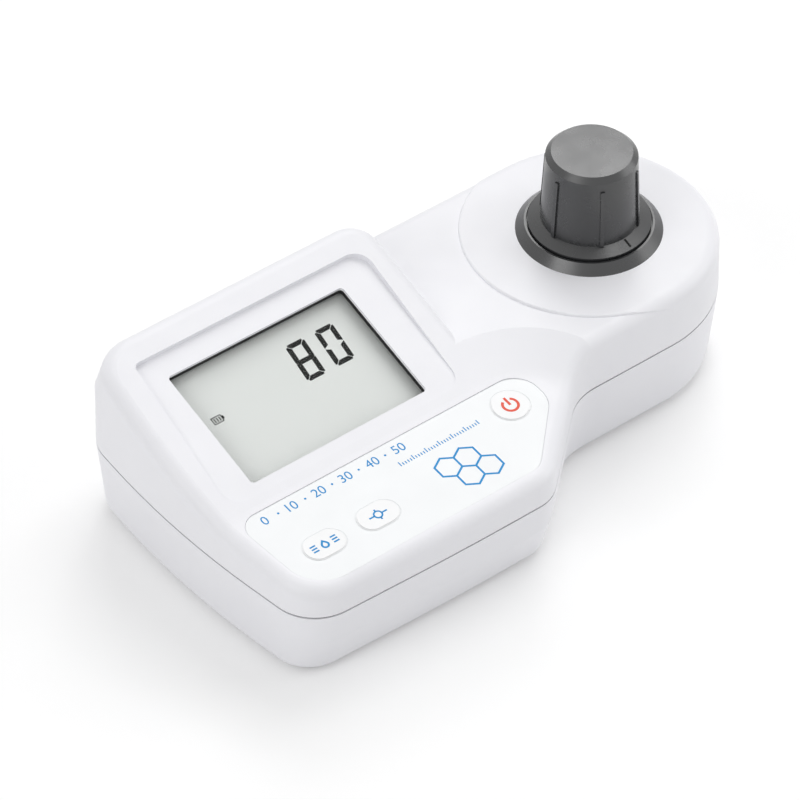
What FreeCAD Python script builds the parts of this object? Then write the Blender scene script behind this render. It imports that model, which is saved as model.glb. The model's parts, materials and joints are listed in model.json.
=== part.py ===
import FreeCAD, Part
import math
import os
import re
import Sketcher
from types import SimpleNamespace

# Portable photometer: a two-shell case with a sloping display head, a low
# keypad in front of it, a scooped neck and a round end that holds the square
# cuvette well under a light-tight knob cap. Millimetres, +Z up, +X to the
# user's right, +Y away from the user. The origin lies under the middle of the
# case, on the surface that the feet stand on.

V = FreeCAD.Vector

# How far a cutting or joining solid reaches past the face that it meets: a
# little, plainly, and out of the case altogether.
TINY = 0.01
LAP = 0.1
REACH = 10.0
FAR = 20.0

DOC = FreeCAD.newDocument("photometer")
SHEET = DOC.addObject("Spreadsheet::Sheet", "Sizes")

SIZES = {
    # case, seen from above
    "body_length": 194.0,
    "body_width": 104.0,
    "end_radius": 38.2,
    "front_left_radius": 14.0,
    "left_bow_radius": 300.0,
    "left_bow_crest": 65.0,
    "left_front_lean": 7.9,
    "left_back_lean": 4.0,
    "front_bow_radius": 900.0,
    "front_bow_reach": 57.0,
    "front_lean": 1.6,
    "front_right_radius": 12.0,
    "back_left_radius": 14.0,
    "inner_corner_radius": 18.0,
    "diagonal_start": 88.9,
    "diagonal_angle": 41.7,
    "head_width": 98.5,
    "head_corner_radius": 10.0,
    # case, seen from the side
    "foot_height": 1.5,
    "waist_height": 15.5,
    "parting_height": 26.0,
    "neck_height": 43.8,
    "platform_height": 44.5,
    "front_height": 35.6,
    "keypad_depth": 35.6,
    "keypad_angle": 5.0,
    "display_angle": 18.0,
    "display_depth": 62.1,
    "back_break_height": 45.5,
    "crease_blend": 20.0,
    "upper_draft": 1.7,
    "wall": 2.6,
    "floor": 2.4,
    # how far the lower shell draws in, at its waist and at its floor
    "waist_inset": 0.8,
    "base_left_inset": 1.7,
    "base_front_inset": 5.0,
    "base_diagonal_inset": 4.0,
    "base_neck_inset": 1.6,
    "base_right_inset": 2.4,
    "base_back_inset": 2.0,
    "base_fillet": 3.0,
    # rounded top edges, platform step and scoop
    "top_fillet": 4.0,
    "head_overlap": 24.0,
    "platform_radius": 37.8,
    "platform_edge": 0.6,
    "scoop_from_left": 95.4,
    "scoop_from_front": 21.3,
    "scoop_floor_radius": 18.0,
    "scoop_top_radius": 43.5,
    "scoop_top_rise": 6.2,
    # joint between the shells
    "gasket_height": 0.6,
    "gasket_inset": 0.45,
    "gasket_width": 0.7,
    "rebate_inset": 1.2,
    "tongue_height": 2.0,
    "rebate_room": 0.6,
    "rim_clearance": 0.3,
    # case screws and feet
    "foot_from_left": 15.5,
    "foot_from_front": 15.2,
    "foot_from_back": 18.0,
    "end_foot_reach": 19.0,
    "end_foot_spread": 17.0,
    "screw_from_left": 11.5,
    "screw_from_front": 24.0,
    "screw_from_back": 9.5,
    "neck_screw_reach": 121.0,
    "neck_screw_front": 38.0,
    "back_screw_reach": 125.8,
    "back_screw_depth": 12.0,
    "end_screw_reach": 29.0,
    "screw_radius": 1.5,
    "screw_head_radius": 2.6,
    "screw_head_height": 2.0,
    "screw_head_base": 14.0,
    "screw_grip": 8.0,
    "screw_clearance": 0.25,
    "screw_slot_width": 0.7,
    "screw_slot_depth": 1.0,
    "boss_radius": 4.2,
    "foot_radius": 5.7,
    "thread_clearance": 0.05,
    "foot_seat": 1.0,
    "foot_edge": 0.5,
    "foot_clearance": 0.1,
    # bezel recess and display opening, in the plane of the head
    "bezel_angle": 2.0,
    "bezel_from_left": 48.6,
    "bezel_top_shift": 2.5,
    "bezel_top_width": 79.4,
    "bezel_bottom_width": 80.6,
    "bezel_low": 5.0,
    "bezel_high": 56.1,
    "bezel_round": 5.5,
    "bezel_tight": 2.0,
    "bezel_overlap": 3.0,
    "bezel_edge_depth": 0.05,
    "bezel_plate": 2.2,
    "window_from_left": 48.6,
    "window_width": 60.6,
    "window_height": 40.4,
    "window_low": 8.5,
    "window_radius": 1.2,
    "window_lip": 1.1,
    "gasket_lining": 0.45,
    "pane_margin": 2.8,
    "pane_thickness": 1.5,
    "pane_gasket": 0.5,
    "glass_thickness": 2.2,
    "glass_margin": 1.6,
    "glass_gap": 0.1,
    "glass_clearance": 0.2,
    "lcd_frame_side": 5.5,
    "lcd_frame_end": 3.5,
    "lcd_ledge": 2.5,
    "contact_height": 2.9,
    "contact_width": 2.2,
    "board_thickness": 1.6,
    "board_side": 11.5,
    "board_low": 3.0,
    "board_high": 3.0,
    "post_side": 39.1,
    "post_low": 12.0,
    "post_high": 47.0,
    "post_root": 0.6,
    "keypad_post_root": 1.5,
    "keypad_post_first": 32.0,
    "keypad_post_second": 62.0,
    "keypad_post_third": 84.0,
    "keypad_post_high": -8.0,
    "keypad_post_low": -22.0,
    "keypad_post_middle": -13.0,
    "board_screw_radius": 1.1,
    "board_post_radius": 2.3,
    "board_screw_head": 2.0,
    "board_screw_head_height": 1.2,
    "board_screw_grip": 4.0,
    "chip_size": 14.0,
    "chip_height": 2.0,
    "chip_level": 27.0,
    # keypad, in the plane of the keypad
    "overlay_depth": 0.45,
    "overlay_thickness": 0.35,
    "overlay_left": 6.6,
    "overlay_right": 106.1,
    "overlay_top": 0.4,
    "overlay_bottom": -31.2,
    "overlay_tip_drop": 13.4,
    "overlay_lean": 6.2,
    "overlay_slant": 45.0,
    "overlay_round": 7.0,
    "overlay_tip_round": 9.0,
    "overlay_top_round": 8.0,
    "overlay_tight": 5.5,
    "overlay_large_round": 12.0,
    "overlay_clearance": 0.1,
    "key_gap": 0.3,
    "key_proud": 0.35,
    "key_edge": 0.3,
    "key_flange": 1.2,
    "key_flange_gap": 0.15,
    "key_flange_height": 0.9,
    "key_travel": 0.4,
    "key_stem_radius": 2.2,
    "power_key_reach": 95.4,
    "power_key_low": -8.5,
    "power_key_radius": 5.6,
    "read_key_reach": 22.1,
    "calibration_key_reach": 40.4,
    "oval_key_low": -19.3,
    "oval_key_length": 13.0,
    "oval_key_width": 8.6,
    "switch_size": 6.0,
    "switch_height": 3.4,
    "plunger_radius": 1.7,
    "plunger_height": 0.7,
    "plunger_length": 2.3,
    "plunger_clearance": 0.15,
    "keypad_board_drop": 9.2,
    "keypad_board_left": 20.0,
    "keypad_board_right": 102.0,
    "keypad_board_top": -4.0,
    "keypad_board_bottom": -26.0,
    "keypad_board_corner": 18.0,
    "keypad_board_drop_corner": 8.0,
    "keypad_board_round": 1.0,
    "ribbon_width": 18.0,
    "ribbon_thickness": 0.4,
    "ribbon_from_left": 39.0,
    "ribbon_grip": 7.0,
    # cuvette well, its collar and its cap
    "well_width": 12.6,
    "well_floor_height": 10.0,
    "holder_bottom_height": 7.5,
    "holder_width": 24.0,
    "holder_length": 34.0,
    "holder_flange_radius": 20.4,
    "holder_flange_thickness": 3.0,
    "ring_radius": 21.4,
    "ring_top_radius": 18.9,
    "ring_inner_radius": 15.5,
    "ring_hole_radius": 17.2,
    "ring_spigot_radius": 16.9,
    "ring_spigot_depth": 4.6,
    "ring_rise": 2.9,
    "ring_seat_rise": 1.6,
    "ring_seat_radius": 18.3,
    "well_mouth": 0.8,
    "ear_radius": 25.5,
    "ear_half_width": 3.4,
    "ear_screw_radius": 1.0,
    "ear_screw_head": 1.9,
    "ear_screw_head_height": 1.4,
    "ear_screw_grip": 2.4,
    "ear_boss_drop": 1.0,
    "cap_height": 29.5,
    "cap_flange_radius": 17.9,
    "cap_flange_edge": 1.8,
    "cap_flange_rise": 1.5,
    "cap_base_radius": 14.3,
    "cap_top_radius": 13.3,
    "cap_top_edge": 1.6,
    "cap_dome": 0.5,
    "cap_wall": 1.9,
    "cap_bore_step": 1.0,
    "cap_spigot_radius": 15.2,
    "cap_spigot_depth": 3.2,
    "cap_seat_gap": 0.3,
    "cap_rib_width": 1.2,
    "cap_rib_proud": 0.55,
    "cap_rib_drop": 4.8,
    "cap_rib_angle": 4.0,
    "cap_roof": 2.4,
    # light path through the well
    "beam_height": 18.0,
    "aperture_radius": 2.0,
    "aperture_wall": 1.7,
    "bore_radius": 5.2,
    "lens_ball_radius": 11.0,
    "bush_length": 5.0,
    "sensor_screw_reach": 7.8,
    "sensor_screw_grip": 4.5,
    "sensor_head_radius": 1.6,
    "sensor_head_height": 1.0,
    "lens_thickness": 2.2,
    "optic_gap": 0.15,
    "lamp_radius": 2.5,
    "lamp_length": 6.3,
    "lamp_clearance": 0.1,
    "filter_thickness": 3.0,
    "diode_radius": 4.1,
    "diode_brim": 0.5,
    "diode_brim_height": 0.6,
    "sensor_board_width": 20.0,
    "sensor_board_height": 20.0,
    "sensor_screw_radius": 0.9,
    "spring_thickness": 0.3,
    "spring_width": 5.0,
    "spring_bulge": 0.7,
    "spring_top": 6.0,
    "spring_bottom": 4.0,
    "slot_depth": 1.0,
    "cable_radius": 1.1,
    "cable_lift": 6.0,
    "cable_offset": 3.0,
    "cable_clear": 3.5,
    "cable_climb": 3.0,
    "cable_first_run": 11.0,
    "cable_second_run": 34.0,
    "cable_third_run": 10.0,
    "cable_end_reach": 8.5,
    "cable_low_end": 4.0,
    "cable_high_end": 11.0,
    "slot_clearance": 0.2,
    "spring_seat_gap": 0.05,
    # battery and its round door
    "battery_length": 48.5,
    "battery_width": 26.5,
    "battery_thickness": 17.5,
    "battery_corner": 2.0,
    "battery_lift": 5.8,
    "battery_gap": 0.4,
    "battery_shift": 2.3,
    "rail_clearance": 0.3,
    "rail_thickness": 1.6,
    "rail_length": 34.0,
    "rail_low": 9.0,
    "stop_width": 16.0,
    "lead_way_length": 4.0,
    "lead_way_width": 12.0,
    "lead_reach": 27.5,
    "lead_radius": 0.7,
    "lead_spread": 3.0,
    "clip_side": 1.0,
    "clip_thickness": 3.4,
    "clip_height": 12.0,
    "terminal_spread": 6.35,
    "terminal_radius": 2.9,
    "terminal_large_radius": 3.6,
    "terminal_height": 2.6,
    "bay_from_left": 49.5,
    "bay_from_front": 50.5,
    "bay_radius": 30.6,
    "bay_wall": 1.8,
    "bay_collar": 3.8,
    "bay_collar_height": 7.2,
    "cover_clearance": 0.4,
    "cover_turn": 30.0,
    "cover_thickness": 2.2,
    "cover_wall": 1.8,
    "cover_wall_height": 1.5,
    "cover_pad_radius": 12.0,
    "cover_pad_gap": 0.2,
    "lug_lift": 0.2,
    "lug_reach": 1.7,
    "lug_half_width": 5.0,
    "lug_height": 1.1,
    "lug_clearance": 0.3,
    "cover_slot_width": 3.2,
    "cover_slot_length": 22.0,
    "cover_slot_depth": 1.2,
    "cover_grip_radius": 17.0,
    "cover_grip_depth": 0.9,
    "cover_bar_length": 30.0,
    "cover_bar_width": 8.0,
    "seal_section": 0.7,
    "seal_proud": 0.1,
    "seal_rise": 1.1,
}


def worked_out(s):
    """Places and sizes that follow from the driving sizes."""
    p = {}
    p["left"] = -s.body_length / 2
    p["front"] = -s.body_width / 2
    p["axis_x"] = s.body_length / 2 - s.end_radius
    p["axis_y"] = s.body_width / 2 - s.end_radius
    p["lower_top"] = s.parting_height - s.gasket_height / 2
    p["upper_bottom"] = s.parting_height + s.gasket_height / 2
    p["crease_y"] = p["front"] + s.keypad_depth
    p["crease_z"] = s.front_height + s.keypad_depth * math.tan(math.radians(s.keypad_angle))
    p["head_right"] = p["left"] + s.head_width
    p["scoop_x"] = p["left"] + s.scoop_from_left
    p["scoop_y"] = p["front"] + s.scoop_from_front
    p["bezel_x"] = p["left"] + s.bezel_from_left
    p["window_x"] = p["left"] + s.window_from_left
    p["plate_under"] = -(s.bezel_edge_depth + s.bezel_plate)
    p["pane_under"] = p["plate_under"] - s.pane_gasket - s.pane_thickness
    p["glass_under"] = p["pane_under"] - s.glass_gap - s.glass_thickness
    p["board_top"] = p["glass_under"] - s.contact_height
    p["board_under"] = p["board_top"] - s.board_thickness
    p["overlay_top_face"] = s.overlay_thickness - s.overlay_depth
    p["key_top"] = p["overlay_top_face"] + s.key_proud
    p["key_flange_top"] = -s.wall - s.key_flange_gap
    p["key_flange_under"] = p["key_flange_top"] - s.key_flange_height
    p["switch_top"] = s.switch_height - s.keypad_board_drop
    p["plunger_top"] = p["switch_top"] + s.plunger_height
    p["power_key_x"] = p["left"] + s.power_key_reach
    p["read_key_x"] = p["left"] + s.read_key_reach
    p["calibration_key_x"] = p["left"] + s.calibration_key_reach
    p["floor_top"] = s.foot_height + s.floor
    p["bay_x"] = p["left"] + s.bay_from_left
    p["bay_y"] = p["front"] + s.bay_from_front
    p["battery_top"] = s.battery_lift + s.battery_thickness
    p["bay_ceiling"] = p["battery_top"] + s.battery_gap
    p["cover_radius"] = s.bay_radius - s.cover_clearance
    p["battery_x"] = p["bay_x"] - s.battery_shift
    p["lead_x"] = p["bay_x"] + s.lead_reach
    p["lug_base"] = s.foot_height + s.cover_thickness + s.lug_lift
    p["foot_top"] = s.foot_height + s.foot_seat
    p["screw_head_top"] = s.screw_head_base + s.screw_head_height
    p["plunger_bottom"] = p["plunger_top"] - s.plunger_length
    p["bore_reach"] = s.well_width / 2 + s.aperture_wall
    p["spring_low"] = s.well_floor_height + s.spring_bottom
    p["cover_slot_depth_top"] = s.cover_grip_depth
    p["cover_wall_top"] = s.cover_thickness + s.cover_wall_height
    p["cover_wall_inner"] = p["cover_radius"] - s.cover_wall
    p["cover_pad_top"] = s.battery_lift - s.foot_height - s.cover_pad_gap
    p["seal_inner"] = p["cover_radius"] + s.seal_proud - s.seal_section
    p["seal_outer"] = p["cover_radius"] + s.seal_proud
    p["seal_top"] = s.seal_rise + s.seal_section
    p["platform_under"] = s.neck_height - s.wall
    p["spigot_bottom"] = s.platform_height - s.ring_spigot_depth
    p["flange_bottom"] = p["spigot_bottom"] - s.holder_flange_thickness
    p["spring_high"] = p["flange_bottom"] - s.spring_top
    p["cap_seat"] = s.platform_height + s.ring_seat_rise + s.cap_seat_gap
    p["cap_top"] = s.platform_height + s.cap_height
    p["cap_bore"] = s.cap_base_radius - s.cap_wall - s.cap_bore_step
    p["cap_bore_top"] = s.cap_top_radius - s.cap_wall - s.cap_bore_step
    p["cap_flange_top"] = s.cap_flange_edge + s.cap_flange_rise
    p["cap_crown"] = p["cap_top"] - p["cap_seat"]
    p["cap_rim"] = p["cap_crown"] - s.cap_dome
    p["cap_shoulder"] = p["cap_rim"] - s.cap_top_edge
    p["cap_edge_radius"] = s.cap_top_radius - s.cap_top_edge
    p["cap_roof_under"] = p["cap_crown"] - s.cap_roof
    p["cap_rib_top"] = p["cap_crown"] - s.cap_rib_drop
    p["cap_rib_root"] = p["cap_bore"] + s.cap_bore_step
    p["cap_rib_base"] = s.cap_base_radius + s.cap_rib_proud
    p["cap_rib_tip"] = s.cap_top_radius + s.cap_rib_proud
    return p


def fill_sheet():
    """Writes every size to the sheet and gives them back as plain names."""
    names = SimpleNamespace(**SIZES)
    values = dict(SIZES)
    values.update(worked_out(names))
    for row, (alias, value) in enumerate(values.items(), start=1):
        SHEET.set(f"A{row}", alias)
        SHEET.set(f"B{row}", repr(float(value)))
        SHEET.setAlias(f"B{row}", alias)
    DOC.recompute()
    return SimpleNamespace(**values)


S = fill_sheet()
PIECES = []


def formula(text):
    """Turns bare size names in a formula into cells of the sheet."""
    def cell(match):
        word = match.group(0)
        return f"Sizes.{word}" if hasattr(S, word) else word
    return re.sub(r"[a-z][a-z_]*", cell, str(text))


def bind(obj, **formulas):
    """Ties properties of an object to the sheet."""
    for path, text in formulas.items():
        obj.setExpression(path.replace("__", "."), formula(text))
    return obj


def place(obj, at):
    """Ties an object's position to the sheet."""
    for axis, text in zip("xyz", at):
        obj.setExpression(f"Placement.Base.{axis}", formula(text))
    return obj


def loose_box(name, size):
    """A box with no place of its own yet."""
    obj = DOC.addObject("Part::Box", name)
    return bind(obj, Length=size[0], Width=size[1], Height=size[2])


def box(name, size, at):
    """A box with one corner at a place."""
    return place(loose_box(name, size), at)


def centred_box(name, size, at):
    """A box centred in X and Y on a place, standing on its Z."""
    corner = (f"({at[0]}) - ({size[0]}) / 2", f"({at[1]}) - ({size[1]}) / 2", at[2])
    return box(name, size, corner)


TURNS = {
    "z": FreeCAD.Rotation(),
    "y": FreeCAD.Rotation(V(1, 0, 0), -90),
    "x": FreeCAD.Rotation(V(0, 1, 0), 90),
}


def cylinder(name, radius, height, at, along="z"):
    """A cylinder from a place, along +X, +Y or +Z."""
    obj = DOC.addObject("Part::Cylinder", name)
    obj.Placement = FreeCAD.Placement(V(), TURNS[along])
    bind(obj, Radius=radius, Height=height)
    return place(obj, at)


def cone(name, low_radius, high_radius, height, at):
    """An upright cone frustum."""
    obj = DOC.addObject("Part::Cone", name)
    bind(obj, Radius1=low_radius, Radius2=high_radius, Height=height)
    return place(obj, at)


def fuse(name, parts):
    """Joins solids into one."""
    if len(parts) == 1:
        return parts[0]
    obj = DOC.addObject("Part::MultiFuse", name)
    obj.Shapes = parts
    obj.Refine = True
    return obj


def cut(name, base, tools):
    """Takes tools away from a base."""
    obj = DOC.addObject("Part::Cut", name)
    obj.Base = base
    obj.Tool = fuse(name + "_tools", tools)
    obj.Refine = True
    return obj


def common(name, parts):
    """Keeps what all the solids share."""
    obj = DOC.addObject("Part::MultiCommon", name)
    obj.Shapes = parts
    obj.Refine = True
    return obj


def group(name, parts):
    """Keeps separate solids together in one object."""
    obj = DOC.addObject("Part::Compound", name)
    obj.Links = parts
    return obj


def made(name, shape):
    """An object whose shape is worked out below, from the sheet's sizes."""
    obj = DOC.addObject("Part::Feature", name)
    obj.Shape = shape
    return obj


def piece(label, obj, frame=None):
    """Names a finished sub-part and puts it in its frame."""
    if frame is not None:
        if obj.ExpressionEngine:
            obj = group(label + "_flat", [obj])
        obj.Placement = frame
    obj.Label = label
    PIECES.append(obj)
    return obj


def tilted(angle):
    """A frame on the crease of the case, tilted up and away from the user."""
    return FreeCAD.Placement(V(0, S.crease_y, S.crease_z), FreeCAD.Rotation(V(1, 0, 0), angle))


HEAD_FRAME = tilted(S.display_angle)
BEZEL_FRAME = tilted(S.display_angle - S.bezel_angle)
KEYPAD_FRAME = tilted(S.keypad_angle)


# Outlines and wires


def rounded_wire(corners, z):
    """A closed wire through corners given as (x, y, radius)."""
    arcs = []
    for index, (x, y, radius) in enumerate(corners):
        here = V(x, y, z)
        before = V(*corners[index - 1][:2], z)
        after = V(*corners[(index + 1) % len(corners)][:2], z)
        back = (before - here).normalize()
        ahead = (after - here).normalize()
        half = math.acos(max(-1.0, min(1.0, back.dot(ahead)))) / 2
        run = radius / math.tan(half)
        centre = here + (back + ahead).normalize() * (radius / math.sin(half))
        middle = centre + (here - centre).normalize() * radius
        arcs.append((here + back * run, middle, here + ahead * run))
    edges = []
    for index, (start, middle, end) in enumerate(arcs):
        edges.append(Part.Arc(start, middle, end).toShape())
        onward = arcs[(index + 1) % len(arcs)][0]
        if (onward - end).Length > 1e-4:
            edges.append(Part.LineSegment(end, onward).toShape())
    return Part.Wire(edges)


def left_end(left, front, back):
    """Corners of the left end, from the back corner to the bow of the front."""
    half = math.radians(S.left_front_lean + S.left_back_lean) / 2
    tilt = math.radians(S.left_front_lean - S.left_back_lean) / 2
    bow_radius = S.left_bow_radius - left
    reach = bow_radius / math.cos(half)
    bow_x = S.left + S.left_bow_radius - reach * math.cos(tilt)
    bow_y = S.front + S.left_bow_crest - reach * math.sin(tilt)
    y_back = S.body_width / 2 - back
    back_x = bow_x + (y_back - bow_y) * math.tan(math.radians(S.left_back_lean))
    side_slope = math.tan(math.radians(S.left_front_lean))
    front_slope = math.tan(math.radians(S.front_lean))
    front_x = S.left + S.front_bow_reach
    y_front = S.front + front
    run = front_x - bow_x + side_slope * bow_y
    corner_y = (y_front + front_slope * run) / (1 + front_slope * side_slope)
    corner_x = bow_x + (bow_y - corner_y) * side_slope
    return [
        (back_x, y_back, S.back_left_radius - min(left, back)),
        (bow_x, bow_y, bow_radius),
        (corner_x, corner_y, S.front_left_radius - min(left, front)),
        (front_x, y_front, S.front_bow_radius),
    ]


def case_wire(z, left, front, diagonal, neck, right, back):
    """The case seen from above, each side drawn in by its own amount."""
    slant = math.radians(S.diagonal_angle)
    y_front = S.front + front
    y_neck = S.axis_y - S.end_radius + neck
    x_right = S.body_length / 2 - right
    y_back = S.body_width / 2 - back
    start_x = S.left + S.diagonal_start - math.sin(slant) * diagonal
    start_y = S.front + math.cos(slant) * diagonal
    slope = math.cos(slant) / math.sin(slant)
    x_first = start_x + (y_front - start_y) * slope
    x_second = start_x + (y_neck - start_y) * slope
    end = (y_back - y_neck) / 2
    return rounded_wire(left_end(left, front, back) + [
        (x_first, y_front, S.front_right_radius - min(diagonal, front)),
        (x_second, y_neck, S.inner_corner_radius + diagonal),
        (x_right, y_neck, end),
        (x_right, y_back, end),
    ], z)


def head_wire(z, inset, back):
    """The display head seen from above: the left end of the case, cut off on its right."""
    right = S.head_right - inset
    return rounded_wire(left_end(inset, inset, back) + [
        (S.left + S.diagonal_start - S.head_corner_radius, S.front + inset, S.head_corner_radius - inset),
        (right, S.scoop_y, S.head_corner_radius - inset),
        (right, S.body_width / 2 - back, S.head_corner_radius - inset),
    ], z)


def even_wire(z, inset):
    """The outline drawn in by the same amount all round."""
    return case_wire(z, inset, inset, inset, inset, inset, inset)


def between(*wires):
    """A solid with straight walls from wire to wire."""
    return Part.makeLoft(list(wires), True, True)


def rim(low, high, outer_inset, inner_inset):
    """A thin band that follows the outline of the case."""
    outer = between(even_wire(low, outer_inset), even_wire(high, outer_inset))
    return outer.cut(between(even_wire(low, inner_inset), even_wire(high, inner_inset)))


def slab(low, high, left_x, right_x):
    """A block as wide as the case, between two heights."""
    width = S.body_width + FAR
    return Part.makeBox(right_x - left_x, width, high - low, V(left_x, -width / 2, low))


# Upper shell


TOP = S.platform_height + 2 * FAR


def upper_prism(inset):
    """The drafted walls of the upper shell, higher than its top."""
    lean = (TOP - S.upper_bottom) * math.tan(math.radians(S.upper_draft))
    return between(even_wire(S.upper_bottom, inset), even_wire(TOP, inset + lean))


def side_profile(points, crease, x_from, x_to, inset):
    """A side view of the top, with its crease blended, pulled out along X."""
    edges = []
    here = V(x_from, *points[0])
    for index in range(1, len(points)):
        corner = V(x_from, *points[index])
        if index == crease:
            back = (V(x_from, *points[index - 1]) - corner).normalize()
            ahead = (V(x_from, *points[index + 1]) - corner).normalize()
            half = back.getAngle(ahead) / 2
            run = S.crease_blend / math.tan(half)
            centre = corner + (back + ahead).normalize() * (S.crease_blend / math.sin(half))
            middle = centre + (corner - centre).normalize() * S.crease_blend
            edges.append(Part.LineSegment(here, corner + back * run).toShape())
            edges.append(Part.Arc(corner + back * run, middle, corner + ahead * run).toShape())
            here = corner + ahead * run
        else:
            edges.append(Part.LineSegment(here, corner).toShape())
            here = corner
    edges.append(Part.LineSegment(here, V(x_from, *points[0])).toShape())
    wire = Part.Wire(edges)
    if inset > 0:
        wire = wire.makeOffset2D(-inset, 2)
    return Part.Face(wire).extrude(V(x_to - x_from, 0, 0))


BELOW = S.parting_height - FAR
OUTSIDE = S.body_width / 2 + REACH


def front_edge_height():
    """Height of the keypad plane far in front of the case."""
    return S.front_height - (OUTSIDE + S.front) * math.tan(math.radians(S.keypad_angle))


def head_walls(inset):
    """The walls of the display head, with the back leaning forward above its break."""
    draft = math.tan(math.radians(S.upper_draft))
    rise = math.tan(math.radians(S.display_angle))
    top_y = S.crease_y + S.display_depth
    top_z = S.crease_z + S.display_depth * rise
    lean = (S.back_break_height - S.upper_bottom) * draft
    lean_top = (TOP - S.upper_bottom) * draft
    slope = (S.body_width / 2 - lean - top_y) / (top_z - S.back_break_height)
    back = lean + (TOP - S.back_break_height) * slope
    break_wire = head_wire(S.back_break_height, inset + lean, inset + lean)
    upright = between(head_wire(S.upper_bottom, inset, inset), break_wire)
    leaning = between(break_wire, head_wire(TOP, inset + lean_top, inset + back))
    return upright.fuse(leaning)


def head_block(inset):
    """What lies under the keypad and display slopes."""
    rise = math.tan(math.radians(S.display_angle))
    points = [
        (-OUTSIDE, BELOW),
        (-OUTSIDE, front_edge_height()),
        (S.crease_y, S.crease_z),
        (OUTSIDE, S.crease_z + (OUTSIDE - S.crease_y) * rise),
        (OUTSIDE, BELOW),
    ]
    return side_profile(points, 2, S.left - REACH, S.head_right + REACH, inset)


def low_block(inset, left_x):
    """Keypad and display slopes carried to the right, up to the neck."""
    rise = math.tan(math.radians(S.display_angle))
    meet_y = S.crease_y + (S.neck_height - S.crease_z) / rise
    points = [
        (-OUTSIDE, BELOW),
        (-OUTSIDE, front_edge_height()),
        (S.crease_y, S.crease_z),
        (meet_y, S.neck_height),
        (OUTSIDE, S.neck_height),
        (OUTSIDE, BELOW),
    ]
    return side_profile(points, 2, left_x, S.body_length / 2 + REACH, inset)


def scoop(inset):
    """The round hollow in front of the neck, as the solid that it takes away.

    It opens out from a circle on the keypad, tangent to the crease, so that its
    wall starts as the display slope and grows steeper round to the right.
    """
    slope = math.tan(math.radians(S.display_angle))
    low = S.scoop_floor_radius
    high = S.scoop_top_radius
    top_z = S.neck_height + S.scoop_top_rise
    top_y = S.crease_y + (top_z - S.crease_z) / slope
    foot = Part.Wire([Part.Circle(V(0, -low, 0), V(0, 0, 1), low).toShape()])
    foot.Placement = FreeCAD.Placement(V(S.scoop_x, S.crease_y, S.crease_z), KEYPAD_FRAME.Rotation)
    mouth = Part.Wire([Part.Circle(V(S.scoop_x, top_y - high, top_z), V(0, 0, 1), high).toShape()])
    solid = Part.makeLoft([foot, mouth], True, True)
    floor_edges = [edge for edge in solid.Edges if edge.Closed and edge.BoundBox.ZMax < S.neck_height - 1]
    solid = solid.makeFillet(S.crease_blend, floor_edges)
    solid.translate(V(0, 0, -inset))
    return solid


def outward(face, point):
    """The outward normal of a face at a point."""
    return face.normalAt(*face.Surface.parameter(point))


def top_edges(solid):
    """Edges where the top of a block meets its walls."""
    found = []
    for edge in solid.Edges:
        point = edge.valueAt((edge.FirstParameter + edge.LastParameter) / 2)
        faces = [face for face in solid.Faces if any(edge.isSame(other) for other in face.Edges)]
        if point.z < S.parting_height + 5 or len(faces) != 2:
            continue
        first, second = [outward(face, point) for face in faces]
        if max(first.z, second.z) > 0.9 and math.degrees(first.getAngle(second)) > 40:
            found.append(edge)
    return found


def softened(solid, radius):
    """Rounds the top edges of a block."""
    return solid.makeFillet(radius, top_edges(solid))


def beside_scoop():
    """The quarter behind and to the right of the middle of the scoop."""
    return Part.makeBox(S.body_length, S.body_width + OUTSIDE, TOP, V(S.scoop_x, S.scoop_y, 0))


def meeting_angle(solid, edge):
    """The angle at which the two faces beside an edge meet, in degrees."""
    point = edge.valueAt((edge.FirstParameter + edge.LastParameter) / 2)
    faces = [face for face in solid.Faces if any(edge.isSame(other) for other in face.Edges)]
    if len(faces) != 2:
        return 0.0
    return math.degrees(outward(faces[0], point).getAngle(outward(faces[1], point)))


def neck_form():
    """The neck: a level top with the scoop taken out of its front, and its outer edge round."""
    start = S.scoop_x - S.scoop_top_radius
    block = upper_prism(0).common(slab(BELOW, S.neck_height, start, OUTSIDE * 2))
    block = block.cut(scoop(0)).removeSplitter()
    rim_edges = []
    for edge in block.Edges:
        bounds = edge.BoundBox
        outer = bounds.ZMin > S.parting_height + 5 and bounds.XMin > start + 1
        if outer and 60 < meeting_angle(block, edge) < 110:
            rim_edges.append(edge)
    return block.makeFillet(S.top_fillet, rim_edges).common(beside_scoop())


def upper_form():
    """Outside of the upper shell."""
    prism = upper_prism(0)
    head = softened(head_walls(0).common(head_block(0)), S.top_fillet)
    low = softened(prism.common(low_block(0, S.left - REACH)), S.top_fillet)
    low = low.cut(slab(BELOW, TOP, S.left - FAR, S.head_right - S.head_overlap))
    neck = neck_form()
    end = softened(prism.common(slab(BELOW, S.platform_height, S.left - REACH, OUTSIDE * 2)), S.top_fillet)
    step = Part.makeCylinder(S.platform_radius, S.platform_height, V(S.axis_x, S.axis_y, 0))
    step_rim = max(step.Edges, key=lambda edge: edge.BoundBox.ZMin)
    step = step.makeFillet(S.platform_edge, [step_rim])
    end = end.common(step.fuse(slab(0, TOP, S.axis_x, OUTSIDE * 2)))
    return head.fuse([low, neck, end]).removeSplitter()


def upper_cavity():
    """Inside of the upper shell, one wall in from its outside."""
    head = head_walls(S.wall).common(head_block(S.wall))
    low = low_block(S.wall, S.head_right - FAR)
    neck = slab(BELOW, S.neck_height - S.wall, S.head_right - 2 * S.wall, OUTSIDE * 2)
    neck = neck.cut(scoop(S.wall)).common(beside_scoop())
    return upper_prism(S.wall).common(low.fuse(neck)).fuse(head).removeSplitter()


def value(name):
    """A size by its name, which may carry a minus sign; 0 is itself."""
    if name == "0":
        return 0.0
    return -getattr(S, name[1:]) if name.startswith("-") else getattr(S, name)


def framed(obj, frame):
    """Puts an object that is drawn flat into a tilted frame."""
    obj.Placement = frame
    return obj


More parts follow.
